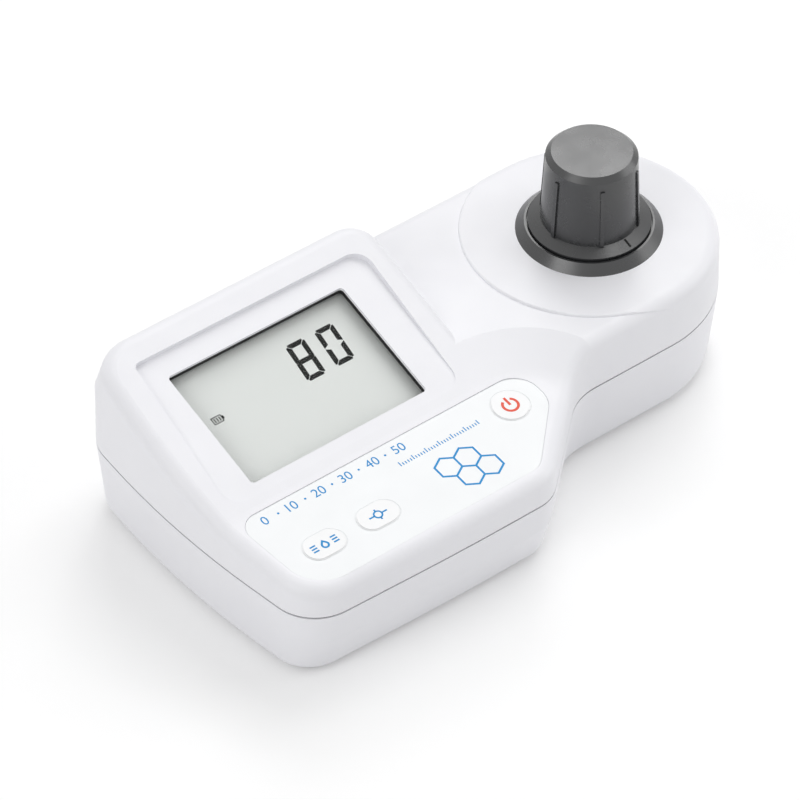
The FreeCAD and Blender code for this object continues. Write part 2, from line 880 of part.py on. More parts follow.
def plate(name, corners, low, high):
    """A flat plate with rounded corners."""
    face = Part.Face(rounded_wire(corners, low))
    return made(name, face.extrude(V(0, 0, high - low)))


def corners_of(x, y, width, height, radius):
    """Corners of an upright rectangle round a centre."""
    return [
        (x - width / 2, y - height / 2, radius),
        (x + width / 2, y - height / 2, radius),
        (x + width / 2, y + height / 2, radius),
        (x - width / 2, y + height / 2, radius),
    ]


def rounded_box(name, size, at, radius):
    """A box centred on a place, with its upright edges rounded."""
    block = centred_box(name + "_block", size, at)
    obj = DOC.addObject("Part::Fillet", name)
    obj.Base = block
    obj.Edges = [(number, radius, radius) for number in (1, 3, 5, 7)]
    return obj


def axis_plane(body, role):
    """One of a body's own origin planes."""
    return next(item for item in body.Origin.OriginFeatures if item.Role == role)


def profile(body, name, role, points):
    """A closed sketch through points named by their sizes."""
    sketch = body.newObject("Sketcher::SketchObject", name)
    sketch.AttachmentSupport = [(axis_plane(body, role), "")]
    sketch.MapMode = "FlatFace"
    spots = [V(value(x), value(y), 0) for x, y in points]
    count = len(spots)
    for index in range(count):
        sketch.addGeometry(Part.LineSegment(spots[index], spots[(index + 1) % count]), False)
    for index in range(count):
        sketch.addConstraint(Sketcher.Constraint("Coincident", index, 2, (index + 1) % count, 1))
    for index, (x, y) in enumerate(points):
        for kind, text in (("DistanceX", x), ("DistanceY", y)):
            number = sketch.addConstraint(Sketcher.Constraint(kind, -1, 1, index, 1, value(text)))
            if text != "0":
                sketch.setExpression(f"Constraints[{number}]", formula(text))
    return sketch


def turned(name, points):
    """A body turned about its upright axis from a half section."""
    body = DOC.addObject("PartDesign::Body", name)
    sketch = profile(body, name + "_section", "XZ_Plane", points)
    spin = body.newObject("PartDesign::Revolution", name + "_spin")
    spin.Profile = sketch
    spin.ReferenceAxis = (sketch, ["V_Axis"])
    spin.Angle = 360.0
    sketch.Visibility = False
    return body


def on_axis(obj, height, turn=0.0):
    """Stands a piece on the cuvette axis."""
    obj.Placement = FreeCAD.Placement(V(), FreeCAD.Rotation(V(0, 0, 1), turn))
    return place(obj, ("axis_x", "axis_y", height))


# Case screws, feet and the posts inside the case


def screw_places():
    """Centres of the case screws, as formulas."""
    return [
        ("left + screw_from_left", "front + screw_from_front"),
        ("left + screw_from_left", "-front - screw_from_back"),
        ("left + neck_screw_reach", "front + neck_screw_front"),
        ("left + back_screw_reach", "-front - back_screw_depth"),
        ("axis_x + end_screw_reach", "axis_y"),
    ]


def foot_places():
    """Centres of the feet, as formulas."""
    return {
        "foot_front_left": ("left + foot_from_left", "front + foot_from_front"),
        "foot_back_left": ("left + foot_from_left", "-front - foot_from_back"),
        "foot_front_right": ("axis_x + end_foot_reach", "axis_y - end_foot_spread"),
        "foot_back_right": ("axis_x + end_foot_reach", "axis_y + end_foot_spread"),
    }


BOARD_POSTS = [
    (f"window_x {side} post_side", level) for side in "-+" for level in ("post_low", "post_high")
]
KEYPAD_POSTS = [
    ("left + keypad_post_first", "keypad_post_high"),
    ("left + keypad_post_second", "keypad_post_low"),
    ("left + keypad_post_third", "keypad_post_middle"),
]
EAR_ANGLES = (90, 210, 330)


def let_out(corners, grow):
    """Moves the sides of an outline outward, while its rounds keep their centres."""
    moved = []
    for index, (x, y, radius) in enumerate(corners):
        here = V(x, y, 0)
        back = (V(*corners[index - 1][:2], 0) - here).normalize()
        ahead = (V(*corners[(index + 1) % len(corners)][:2], 0) - here).normalize()
        half = back.getAngle(ahead) / 2
        away = (back + ahead).normalize() * (-grow / math.sin(half))
        moved.append((x + away.x, y + away.y, radius + grow))
    return moved


def overlay_outline(grow):
    """Corners of the keypad overlay, let out by the same amount all round."""
    left = S.left + S.overlay_left
    right = S.left + S.overlay_right
    tip = S.overlay_top - S.overlay_tip_drop
    lean = (S.overlay_top - S.overlay_bottom) * math.tan(math.radians(S.overlay_lean))
    slant = math.tan(math.radians(S.overlay_slant))
    foot = right - (tip - S.overlay_bottom) / slant
    return let_out([
        (left + lean, S.overlay_bottom, S.overlay_large_round),
        (foot, S.overlay_bottom, S.overlay_round),
        (right, tip, S.overlay_tip_round),
        (right, S.overlay_top, S.overlay_top_round),
        (left, S.overlay_top, S.overlay_tight),
    ], grow)


def oval(x, y, length, width):
    """Corners of an oval with round ends."""
    return corners_of(x, y, length, width, width / 2 - 0.001)


def key_outlines(grow):
    """Outlines of the three keys, let out by the same amount."""
    across = 2 * (S.power_key_radius + grow)
    long = S.oval_key_length + 2 * grow
    wide = S.oval_key_width + 2 * grow
    return {
        "power_key": oval(S.power_key_x, S.power_key_low, across, across),
        "read_key": oval(S.read_key_x, S.oval_key_low, long, wide),
        "calibration_key": oval(S.calibration_key_x, S.oval_key_low, long, wide),
    }


KEY_CENTRES = {
    "power_key": ("power_key_x", "power_key_low"),
    "read_key": ("read_key_x", "oval_key_low"),
    "calibration_key": ("calibration_key_x", "oval_key_low"),
}


# Upper shell with its bezel, bosses and openings


def bezel_corners():
    """Corners of the sunk panel round the display."""
    top = S.bezel_top_width / 2
    bottom = S.bezel_bottom_width / 2
    top_x = S.bezel_x + S.bezel_top_shift
    return [
        (S.bezel_x - bottom, S.bezel_low, S.bezel_round),
        (S.bezel_x + bottom, S.bezel_low, S.bezel_round),
        (top_x + top, S.bezel_high, S.bezel_round),
        (top_x - top, S.bezel_high, S.bezel_tight),
    ]


def window_corners(grow):
    """Corners of the display opening, let out by the same amount."""
    middle = S.window_low + S.window_height / 2
    radius = S.window_radius + grow
    return corners_of(S.window_x, middle, S.window_width + 2 * grow, S.window_height + 2 * grow, radius)


def build_upper_case():
    """The moulded upper shell."""
    outside = made("upper_outside", upper_form())
    shell = cut("upper_shell", outside, [made("upper_inside", upper_cavity())])
    backing = plate(
        "bezel_backing",
        corners_of(S.bezel_x, (S.bezel_low + S.bezel_high) / 2, S.bezel_bottom_width, S.bezel_high, S.bezel_tight / 2),
        S.plate_under,
        -S.bezel_edge_depth,
    )
    framed(backing, BEZEL_FRAME)
    bosses = []
    for index, (x, y) in enumerate(screw_places()):
        bosses.append(cylinder(f"upper_boss_{index}", "boss_radius", "cap_top - lower_top", (x, y, "lower_top")))
    posts = []
    for index, (x, y) in enumerate(BOARD_POSTS):
        posts.append(cylinder(f"board_post_{index}", "board_post_radius", "-board_top - post_root",
                              (x, y, "board_top")))
    bezel_posts = framed(group("board_posts", posts), BEZEL_FRAME)
    posts = []
    for index, (x, y) in enumerate(KEYPAD_POSTS):
        height = "keypad_board_drop - keypad_post_root"
        posts.append(cylinder(f"keypad_post_{index}", "board_post_radius", height, (x, y, "-keypad_board_drop")))
    keypad_posts = framed(group("keypad_posts", posts), KEYPAD_FRAME)
    ears = []
    for index, angle in enumerate(EAR_ANGLES):
        x = f"axis_x + ear_radius * cos({angle})"
        y = f"axis_y + ear_radius * sin({angle})"
        ears.append(cylinder(f"ear_boss_{index}", "ear_half_width",
                             "platform_height - spigot_bottom - ear_boss_drop", (x, y, "spigot_bottom")))
    inner = fuse("upper_bosses", [backing, bezel_posts, keypad_posts, *bosses, *ears])
    added = common("upper_added", [inner, outside])
    whole = fuse("upper_filled", [shell, added])

    rebate = made("rim_rebate", between(
        even_wire(S.lower_top - REACH / 2, S.rebate_inset),
        even_wire(S.lower_top + S.tongue_height + S.rebate_room, S.rebate_inset),
    ))
    keep = fuse("rebate_keep", [
        cylinder(f"boss_keep_{index}", "boss_radius", FAR * 3, (x, y, 0))
        for index, (x, y) in enumerate(screw_places())
    ])
    rim_cut = cut("rim_cut", rebate, [keep])
    pilots = [
        cylinder(f"case_pilot_{index}", "screw_radius + thread_clearance", "screw_grip + gasket_height",
                 (x, y, "lower_top"))
        for index, (x, y) in enumerate(screw_places())
    ]
    for index, angle in enumerate(EAR_ANGLES):
        x = f"axis_x + ear_radius * cos({angle})"
        y = f"axis_y + ear_radius * sin({angle})"
        pilots.append(cylinder(f"ear_pilot_{index}", "ear_screw_radius + thread_clearance", "ear_screw_grip",
                               (x, y, "spigot_bottom")))
    head_cuts = [
        plate("bezel_recess", bezel_corners(), -S.bezel_edge_depth, FAR),
        plate("window_opening", window_corners(0), -REACH, FAR),
        plate("window_step", window_corners(S.gasket_lining), -REACH, -S.window_lip),
        plate("pane_seat", window_corners(S.pane_margin + S.glass_clearance), -REACH, S.plate_under),
    ]
    for index, (x, y) in enumerate(BOARD_POSTS):
        head_cuts.append(cylinder(f"board_pilot_{index}", "board_screw_radius + thread_clearance",
                                  "board_screw_grip", (x, y, "board_top")))
    keypad_cuts = [plate("overlay_recess", overlay_outline(0), -S.overlay_depth, FAR)]
    for key, outline in key_outlines(S.key_gap).items():
        keypad_cuts.append(plate(key + "_hole", outline, -S.wall * 2, FAR))
    for index, (x, y) in enumerate(KEYPAD_POSTS):
        keypad_cuts.append(cylinder(f"keypad_pilot_{index}", "board_screw_radius + thread_clearance",
                                    "board_screw_grip", (x, y, "-keypad_board_drop")))
    well = cylinder("ring_hole", "ring_hole_radius", FAR, ("axis_x", "axis_y", "platform_under - 2 * wall"))
    shape = cut("upper_case_shape", whole, [
        framed(fuse("head_cuts", head_cuts), BEZEL_FRAME),
        framed(fuse("keypad_cuts", keypad_cuts), KEYPAD_FRAME),
        rim_cut, well, *pilots,
    ])
    piece("upper_case", shape)


# Lower shell, gasket, screws and feet


def lower_loft(extra, low):
    """The lower shell's form, drawn in further by an even amount."""
    base = case_wire(
        low, S.base_left_inset + extra, S.base_front_inset + extra, S.base_diagonal_inset + extra,
        S.base_neck_inset + extra, S.base_right_inset + extra, S.base_back_inset + extra)
    waist = even_wire(S.waist_height, S.waist_inset + extra)
    return between(base, waist).fuse(between(waist, even_wire(S.lower_top, extra)))


def lower_outside():
    """Outside of the lower shell, with its bottom edge rounded."""
    form = lower_loft(0, S.foot_height)
    edges = [edge for edge in form.Edges if edge.BoundBox.ZMax < S.foot_height + TINY]
    return form.makeFillet(S.base_fillet, edges)


def build_lower_case():
    """The lower shell with the battery cup and the screw tubes."""
    outside = made("lower_outside", lower_outside())
    shell = cut("lower_shell", outside, [made("lower_inside", lower_loft(S.wall, S.floor_top))])
    tongue_top = S.lower_top + S.tongue_height
    tongue = made("rim_tongue", rim(
        S.lower_top - 1, tongue_top, S.rebate_inset + S.rim_clearance, S.wall))
    tubes = [
        cylinder(f"screw_tube_{index}", "boss_radius", "lower_top - foot_height", (x, y, "foot_height"))
        for index, (x, y) in enumerate(screw_places())
    ]
    cup = cylinder("bay_cup", "bay_radius + bay_wall", "bay_ceiling + bay_wall - foot_height",
                   ("bay_x", "bay_y", "foot_height"))
    collar = cylinder("bay_collar", "bay_radius + bay_collar", "bay_collar_height - foot_height",
                      ("bay_x", "bay_y", "foot_height"))
    inner = common("lower_added", [fuse("lower_bosses", [cup, collar, *tubes]), outside])
    hollow = cylinder("bay_hollow", "bay_radius", "bay_ceiling", ("bay_x", "bay_y", 0))
    groove = cylinder("bay_groove", "cover_radius + lug_reach + lug_clearance", "lug_height + 2 * lug_clearance",
                      ("bay_x", "bay_y", "lug_base - lug_clearance"))
    cuts = [hollow, groove]
    half = "lug_half_width + lug_clearance"
    for index, side in enumerate((0, 180)):
        notch = loose_box(f"lug_notch_{index}", (
            "cover_radius + lug_reach + lug_clearance", f"2 * ({half})", "lug_base + lug_height"))
        turn = FreeCAD.Rotation(V(0, 0, 1), S.cover_turn + side)
        corner = turn.multVec(V(0, -S.lug_half_width - S.lug_clearance, 0))
        notch.Placement = FreeCAD.Placement(V(S.bay_x, S.bay_y, 0) + corner, turn)
        cuts.append(notch)
    for index, (x, y) in enumerate(screw_places()):
        cuts.append(cylinder(f"counterbore_{index}", "screw_head_radius + screw_clearance",
                             "screw_head_top", (x, y, 0)))
        cuts.append(cylinder(f"screw_way_{index}", "screw_radius + screw_clearance", "lower_top",
                             (x, y, "screw_head_top - 1")))
    for name, (x, y) in foot_places().items():
        cuts.append(cylinder(name + "_seat", "foot_radius + foot_clearance", "foot_top", (x, y, 0)))
    lead_way = centred_box("lead_way", ("lead_way_length", "lead_way_width", "bay_wall * 3"),
                           ("lead_x", "bay_y", "bay_ceiling - bay_wall"))
    cuts.append(lead_way)
    body = cut("lower_cut", fuse("lower_filled", [shell, tongue, inner]), cuts)
    rails = []
    side = "(battery_width / 2 + rail_clearance)"
    for index, edge in enumerate((f"bay_y + {side}", f"bay_y - {side} - rail_thickness")):
        rails.append(box(f"battery_rail_{index}", ("rail_length", "rail_thickness", "bay_ceiling + 0.5 - rail_low"),
                         ("battery_x - rail_length / 2", edge, "rail_low")))
    rails.append(box("battery_stop", ("rail_thickness", "stop_width", "bay_ceiling + 0.5 - rail_low"), (
        "battery_x - battery_length / 2 - rail_clearance - rail_thickness", "bay_y - stop_width / 2", "rail_low")))
    piece("lower_case", fuse("lower_case_shape", [body, *rails]))


def build_case_fittings():
    """Rim gasket, case screws and feet."""
    gasket = rim(S.lower_top, S.upper_bottom, S.gasket_inset, S.gasket_inset + S.gasket_width)
    piece("case_gasket", made("case_gasket_shape", gasket))
    screws = []
    for index, (x, y) in enumerate(screw_places()):
        head = cylinder(f"case_screw_head_{index}", "screw_head_radius", "screw_head_height",
                        (x, y, "screw_head_base"))
        shank = cylinder(f"case_screw_shank_{index}", "screw_radius",
                         "lower_top + screw_grip - screw_head_base - screw_head_height / 2",
                         (x, y, "screw_head_base + screw_head_height / 2"))
        drive = centred_box(f"case_screw_drive_{index}", (
            "screw_head_radius", "screw_slot_width", "screw_slot_depth"), (x, y, "screw_head_base"))
        screws.append(cut(f"case_screw_{index}", fuse(f"case_screw_whole_{index}", [head, shank]), [drive]))
    piece("case_screws", group("case_screw_set", screws))
    for name, (x, y) in foot_places().items():
        pad = cylinder(name + "_pad", "foot_radius", "foot_top - foot_edge", (x, y, "foot_edge"))
        tread = cone(name + "_tread", "foot_radius - foot_edge", "foot_radius", "foot_edge", (x, y, 0))
        piece(name, fuse(name + "_shape", [pad, tread]))


# Display and its board


def bezel_box(name, grow_x, grow_y, low, high):
    """A block round the display opening, let out by two amounts."""
    size = (f"window_width + 2 * ({grow_x})", f"window_height + 2 * ({grow_y})", f"({high}) - ({low})")
    return centred_box(name, size, ("window_x", "window_low + window_height / 2", low))


def build_display():
    """Window, gasket, glass, frame, contact strips and main board."""
    lining = plate("gasket_lining", window_corners(S.gasket_lining), S.plate_under, -S.window_lip)
    frame = plate("gasket_frame", window_corners(S.pane_margin), S.plate_under - S.pane_gasket, S.plate_under)
    middle = plate("gasket_opening", window_corners(0), -REACH, REACH)
    whole = fuse("gasket_whole", [lining, frame])
    piece("window_gasket", cut("window_gasket_shape", whole, [middle]), BEZEL_FRAME)
    pane = plate("pane", window_corners(S.pane_margin), S.pane_under, S.pane_under + S.pane_thickness)
    piece("display_window", pane, BEZEL_FRAME)
    glass = bezel_box("glass", "glass_margin", "glass_margin", "glass_under", "glass_under + glass_thickness")
    piece("lcd_glass", glass, BEZEL_FRAME)

    fit = "glass_margin + glass_clearance"
    block = bezel_box("lcd_frame_block", "lcd_frame_side", "lcd_frame_end", "board_top", "pane_under")
    pocket = bezel_box("lcd_frame_pocket", fit, fit, "glass_under", "pane_under + 1")
    opening = bezel_box("lcd_frame_opening", "-lcd_ledge", fit, "board_top - 1", "glass_under")
    piece("lcd_frame", cut("lcd_frame_shape", block, [pocket, opening]), BEZEL_FRAME)
    strips = []
    for index, level in enumerate((
        "window_low - glass_margin", "window_low + window_height + glass_margin - contact_width",
    )):
        size = ("window_width - 2 * lcd_ledge - 2 * glass_clearance", "contact_width", "contact_height")
        at = ("window_x - window_width / 2 + lcd_ledge + glass_clearance", level, "board_top")
        strips.append(box(f"contact_strip_{index}", size, at))
    piece("contact_strips", group("contact_strip_set", strips), BEZEL_FRAME)

    board = box("main_board_blank", (
        "window_width + 2 * board_side", "window_height + board_low + board_high", "board_thickness"), (
        "window_x - window_width / 2 - board_side", "window_low - board_low", "board_under"))
    holes = [
        cylinder(f"board_hole_{index}", "board_screw_radius + screw_clearance", "board_thickness * 3",
                 (x, y, "board_under - board_thickness"))
        for index, (x, y) in enumerate(BOARD_POSTS)
    ]
    piece("main_board", cut("main_board_shape", board, holes), BEZEL_FRAME)
    chip = centred_box("chip_body", ("chip_size", "chip_size", "chip_height"),
                       ("window_x", "chip_level", "board_under - chip_height"))
    piece("controller_chip", chip, BEZEL_FRAME)
    parts = []
    for index, (reach, level, length, width, height) in enumerate((
        ("20", "14", "10", "4", "4"),
        ("-20", "14", "6", "6", "5"),
        ("-24", "36", "4", "8", "3"),
        ("24", "38", "12", "5", "4.5"),
        ("-12", "44", "3", "3", "2"),
        ("12", "44", "3", "3", "2"),
    )):
        parts.append(centred_box(f"board_part_{index}", (length, width, height),
                                 (f"window_x + {reach}", level, f"board_under - {height}")))
    piece("board_parts", group("board_part_set", parts), BEZEL_FRAME)
    piece("main_board_screws", board_screws("main", BOARD_POSTS, "board_under", "board_top"), BEZEL_FRAME)


def board_screws(name, places, under, top):
    """Small screws that hold a board up to its posts."""
    screws = []
    for index, (x, y) in enumerate(places):
        head = cylinder(f"{name}_screw_head_{index}", "board_screw_head", "board_screw_head_height",
                        (x, y, f"{under} - board_screw_head_height"))
        shank = cylinder(f"{name}_screw_shank_{index}", "board_screw_radius",
                         f"{top} - ({under}) + board_screw_grip", (x, y, f"{under} - 0.2"))
        screws.append(fuse(f"{name}_screw_{index}", [head, shank]))
    return group(name + "_screw_set", screws)


# Keypad


def build_keypad():
    """Overlay, keys, switches and their board."""
    sheet = plate("overlay_sheet", overlay_outline(-S.overlay_clearance), -S.overlay_depth, S.overlay_top_face)
    holes = [plate(key + "_way", outline, -REACH, REACH) for key, outline in key_outlines(S.key_gap).items()]
    piece("keypad_overlay", cut("keypad_overlay_shape", sheet, holes), KEYPAD_FRAME)
    flanges = key_outlines(S.key_flange)
    crowns = key_outlines(-S.key_edge)
    for key, outline in key_outlines(0).items():
        x, y = KEY_CENTRES[key]
        cap = plate(key + "_cap", outline, S.key_flange_top - LAP, S.key_top - S.key_edge)
        crown = plate(key + "_crown", crowns[key], S.key_top - S.key_edge - LAP, S.key_top)
        flange = plate(key + "_flange", flanges[key], S.key_flange_under, S.key_flange_top)
        stem = cylinder(key + "_stem", "key_stem_radius", "key_flange_top - plunger_top", (x, y, "plunger_top"))
        piece(key, fuse(key + "_shape", [cap, crown, flange, stem]), KEYPAD_FRAME)
        short = key.replace("_key", "")
        plunger = cylinder(short + "_plunger_pin", "plunger_radius", "plunger_length", (x, y, "plunger_bottom"))
        piece(short + "_plunger", plunger, KEYPAD_FRAME)
    bodies = []
    for key, (x, y) in KEY_CENTRES.items():
        body = centred_box(key + "_switch_block", ("switch_size", "switch_size", "switch_height"),
                           (x, y, "-keypad_board_drop"))
        well = cylinder(key + "_switch_well", "plunger_radius + plunger_clearance",
                        "switch_height", (x, y, "plunger_bottom - key_travel - plunger_clearance"))
        bodies.append(cut(key + "_switch_body", body, [well]))
    piece("switch_bodies", group("switch_body_set", bodies), KEYPAD_FRAME)

    left = S.left + S.keypad_board_left
    right = S.left + S.keypad_board_right
    top, bottom = S.keypad_board_top, S.keypad_board_bottom
    board = plate("keypad_board_blank", [
        (left, bottom, S.keypad_board_round),
        (right - S.keypad_board_corner, bottom, S.keypad_board_round),
        (right, top - S.keypad_board_drop_corner, S.keypad_board_round),
        (right, top, S.keypad_board_round),
        (left, top, S.keypad_board_round),
    ], -S.keypad_board_drop - S.board_thickness, -S.keypad_board_drop)
    holes = [
        cylinder(f"keypad_hole_{index}", "board_screw_radius + screw_clearance", "board_thickness * 3",
                 (x, y, "-keypad_board_drop - 2 * board_thickness"))
        for index, (x, y) in enumerate(KEYPAD_POSTS)
    ]
    piece("keypad_board", cut("keypad_board_shape", board, holes), KEYPAD_FRAME)
    screws = board_screws("keypad", KEYPAD_POSTS, "-keypad_board_drop - board_thickness", "-keypad_board_drop")
    piece("keypad_board_screws", screws, KEYPAD_FRAME)


def build_ribbon():
    """Flat cable under both boards."""
    under = -S.keypad_board_drop - S.board_thickness
    spots = [
        KEYPAD_FRAME.multVec(V(0, S.keypad_board_top - S.ribbon_grip, under)),
        KEYPAD_FRAME.multVec(V(0, S.keypad_board_top, under)),
        BEZEL_FRAME.multVec(V(0, S.window_low - S.board_low, S.board_under)),
        BEZEL_FRAME.multVec(V(0, S.window_low - S.board_low + S.ribbon_grip, S.board_under)),
    ]
    drop = V(0, 0, -S.ribbon_thickness)
    x = V(S.left + S.ribbon_from_left, 0, 0)
    outline = [spot + x for spot in spots] + [spot + x + drop for spot in reversed(spots)]
    face = Part.Face(Part.makePolygon(outline + outline[:1]))
    piece("ribbon_cable", made("ribbon_strip", face.extrude(V(S.ribbon_width, 0, 0))))


# Cuvette holder and its optics


def build_holder():
    """Collar, seal, holder, its screws and the cuvette spring."""
    collar = turned("holder_ring_body", [
        ("ring_inner_radius", "-ring_spigot_depth"),
        ("ring_spigot_radius", "-ring_spigot_depth"),
        ("ring_spigot_radius", "0"),
        ("ring_radius", "0"),
        ("ring_top_radius", "ring_rise"),
        ("ring_seat_radius", "ring_rise"),
        ("ring_seat_radius", "ring_seat_rise"),
        ("ring_inner_radius", "ring_seat_rise"),
    ])
    piece("holder_ring", on_axis(collar, "platform_height"))
    centre = ("axis_x", "axis_y")
    disc = cylinder("seal_disc", "holder_flange_radius", "platform_under - spigot_bottom",
                    (*centre, "spigot_bottom"))
    hole = cylinder("seal_hole", "ring_hole_radius", "platform_height", (*centre, 0))
    piece("holder_seal", cut("holder_seal_shape", disc, [hole]))

    solids = [
        cylinder("holder_flange", "holder_flange_radius", "holder_flange_thickness", (*centre, "flange_bottom")),
        centred_box("holder_block", ("holder_width", "holder_length", "flange_bottom + 1 - holder_bottom_height"),
                    (*centre, "holder_bottom_height")),
    ]
    holes = [
        centred_box("well", ("well_width", "well_width", "platform_height"), (*centre, "well_floor_height")),
        centred_box("spring_slot", ("well_width", "spring_width + 2 * slot_clearance",
                                    "spring_high - spring_low + 2 * slot_clearance"),
                    ("axis_x + slot_depth", "axis_y", "spring_low - slot_clearance")),
    ]
    screws = []
    for index, angle in enumerate(EAR_ANGLES):
        arm = loose_box(f"ear_arm_{index}", ("ear_radius", "2 * ear_half_width", "holder_flange_thickness"))
        turn = FreeCAD.Rotation(V(0, 0, 1), angle)
        arm.Placement = FreeCAD.Placement(
            V(S.axis_x, S.axis_y, S.flange_bottom) + turn.multVec(V(0, -S.ear_half_width, 0)), turn)
        x = f"axis_x + ear_radius * cos({angle})"
        y = f"axis_y + ear_radius * sin({angle})"
        tip = cylinder(f"ear_tip_{index}", "ear_half_width", "holder_flange_thickness", (x, y, "flange_bottom"))
        solids += [arm, tip]
        holes.append(cylinder(f"ear_hole_{index}", "ear_screw_radius + slot_clearance", "platform_height",
                              (x, y, "well_floor_height")))
        head = cylinder(f"ear_head_{index}", "ear_screw_head", "ear_screw_head_height",
                        (x, y, "flange_bottom - ear_screw_head_height"))
        shank = cylinder(f"ear_shank_{index}", "ear_screw_radius", "holder_flange_thickness + ear_screw_grip",
                         (x, y, "flange_bottom - 0.2"))
        screws.append(fuse(f"ear_screw_{index}", [head, shank]))
    along = ("axis_x", "axis_y - holder_length / 2 - 1", "beam_height")
    holes.append(cylinder("beam_way", "aperture_radius", "holder_length + 2", along, "y"))
    for name, start in (("lamp_bore", "axis_y - holder_length / 2 - 1"), ("diode_bore", "axis_y + bore_reach")):
        holes.append(cylinder(name, "bore_radius", "holder_length / 2 - bore_reach + 1",
                              ("axis_x", start, "beam_height"), "y"))
    for index, (x, y, z) in enumerate(sensor_screw_places()):
        holes.append(cylinder(f"sensor_pilot_{index}", "sensor_screw_radius + thread_clearance", "sensor_screw_grip",
                              (x, y[1], z), "y"))
    piece("cuvette_holder", cut("cuvette_holder_shape", fuse("holder_whole", solids), holes))
    piece("holder_screws", group("holder_screw_set", screws))

    middle = (S.spring_high + S.spring_low) / 2
    wall = S.well_width / 2 + S.slot_depth - S.spring_seat_gap
    bulge = S.well_width / 2 - S.spring_bulge
    outer = Part.Arc(V(wall, 0, S.spring_low), V(bulge + S.spring_thickness, 0, middle), V(wall, 0, S.spring_high))
    inner = Part.Arc(V(wall - S.spring_thickness, 0, S.spring_low), V(bulge, 0, middle),
                     V(wall - S.spring_thickness, 0, S.spring_high))
    wire = Part.Wire([
        outer.toShape(),
        Part.LineSegment(V(wall, 0, S.spring_high), V(wall - S.spring_thickness, 0, S.spring_high)).toShape(),
        inner.toShape(),
        Part.LineSegment(V(wall - S.spring_thickness, 0, S.spring_low), V(wall, 0, S.spring_low)).toShape(),
    ])
    strip = Part.Face(wire).extrude(V(0, S.spring_width, 0))
    strip.translate(V(S.axis_x, S.axis_y - S.spring_width / 2, 0))
    piece("cuvette_spring", made("spring_strip", strip))


def sensor_screw_places():
    """Screws of the two optics boards: X, (head side, pilot start) and Z."""
    places = []
    for sign in "-+":
        for level in "-+":
            x = f"axis_x {sign} sensor_screw_reach"
            z = f"beam_height {level} sensor_screw_reach"
            front = "axis_y - holder_length / 2"
            places.append((x, (f"{front} - board_thickness - sensor_head_height", f"{front} - {TINY}"), z))
            back = "axis_y + holder_length / 2"
            places.append((x, (f"{back} + board_thickness", f"{back} - sensor_screw_grip + {TINY}"), z))
    return places


def build_optics():
    """Lamp, lens, filter, photodiode and the two small boards."""
    beam = ("axis_x", "beam_height")

    def disc(name, radius, length, start):
        return cylinder(name, radius, length, (beam[0], start, beam[1]), "y")

    fit = "bore_radius - optic_gap"
    lens_face = "axis_y - bore_reach - optic_gap - lens_thickness"
    blank = disc("lens_blank", fit, "lens_thickness", lens_face)
    ball = DOC.addObject("Part::Sphere", "lens_ball")
    bind(ball, Radius="lens_ball_radius")
    place(ball, ("axis_x", f"{lens_face} + lens_ball_radius", "beam_height"))
    piece("lens", common("lens_shape", [blank, ball]))
    front = "axis_y - holder_length / 2"
    piece("lamp_bush", cut("lamp_bush_shape", disc("bush_blank", fit, "bush_length", front),
                           [disc("bush_way", "lamp_radius + lamp_clearance", "holder_length", f"{front} - 1")]))
    stem = disc("lamp_stem", "lamp_radius", "lamp_length - lamp_radius", front)
    tip = DOC.addObject("Part::Sphere", "lamp_tip")
    bind(tip, Radius="lamp_radius")
    place(tip, ("axis_x", f"{front} + lamp_length - lamp_radius", "beam_height"))
    piece("lamp", fuse("lamp_shape", [stem, tip]))
    piece("light_filter", disc("filter_disc", fit, "filter_thickness", "axis_y + bore_reach + optic_gap"))
    diode_front = "axis_y + bore_reach + 2 * optic_gap + filter_thickness"
    can = disc("diode_can", "diode_radius",
               "holder_length / 2 - bore_reach - 2 * optic_gap - filter_thickness", diode_front)
    brim = disc("diode_brim_disc", "diode_radius + diode_brim", "diode_brim_height",
                "axis_y + holder_length / 2 - diode_brim_height")
    piece("photodiode", fuse("photodiode_shape", [can, brim]))
    for name, y in (("lamp_board", f"{front} - board_thickness"), ("detector_board", "axis_y + holder_length / 2")):
        board = box(name + "_blank", ("sensor_board_width", "board_thickness", "sensor_board_height"),
                    ("axis_x - sensor_board_width / 2", y, "beam_height - sensor_board_height / 2"))
        ways = [
            cylinder(f"{name}_way_{index}", "sensor_screw_radius + slot_clearance", "board_thickness * 3",
                     (x, f"({y}) - board_thickness", z), "y")
            for index, (x, _, z) in enumerate(sensor_screw_places()) if index % 2 == (name == "detector_board")
        ]
        piece(name, cut(name + "_shape", board, ways))
    screws = []
    for index, (x, (head_y, pilot), z) in enumerate(sensor_screw_places()):
        head = cylinder(f"sensor_head_{index}", "sensor_head_radius", "sensor_head_height", (x, head_y, z), "y")
        start = f"({pilot}) - board_thickness - 0.2" if index % 2 == 0 else pilot
        shank = cylinder(f"sensor_shank_{index}", "sensor_screw_radius",
                         "sensor_screw_grip + board_thickness + 0.2", (x, start, z), "y")
        screws.append(fuse(f"sensor_screw_{index}", [head, shank]))
    piece("optics_board_screws", group("optics_screw_set", screws))


# Battery, its leads and its door


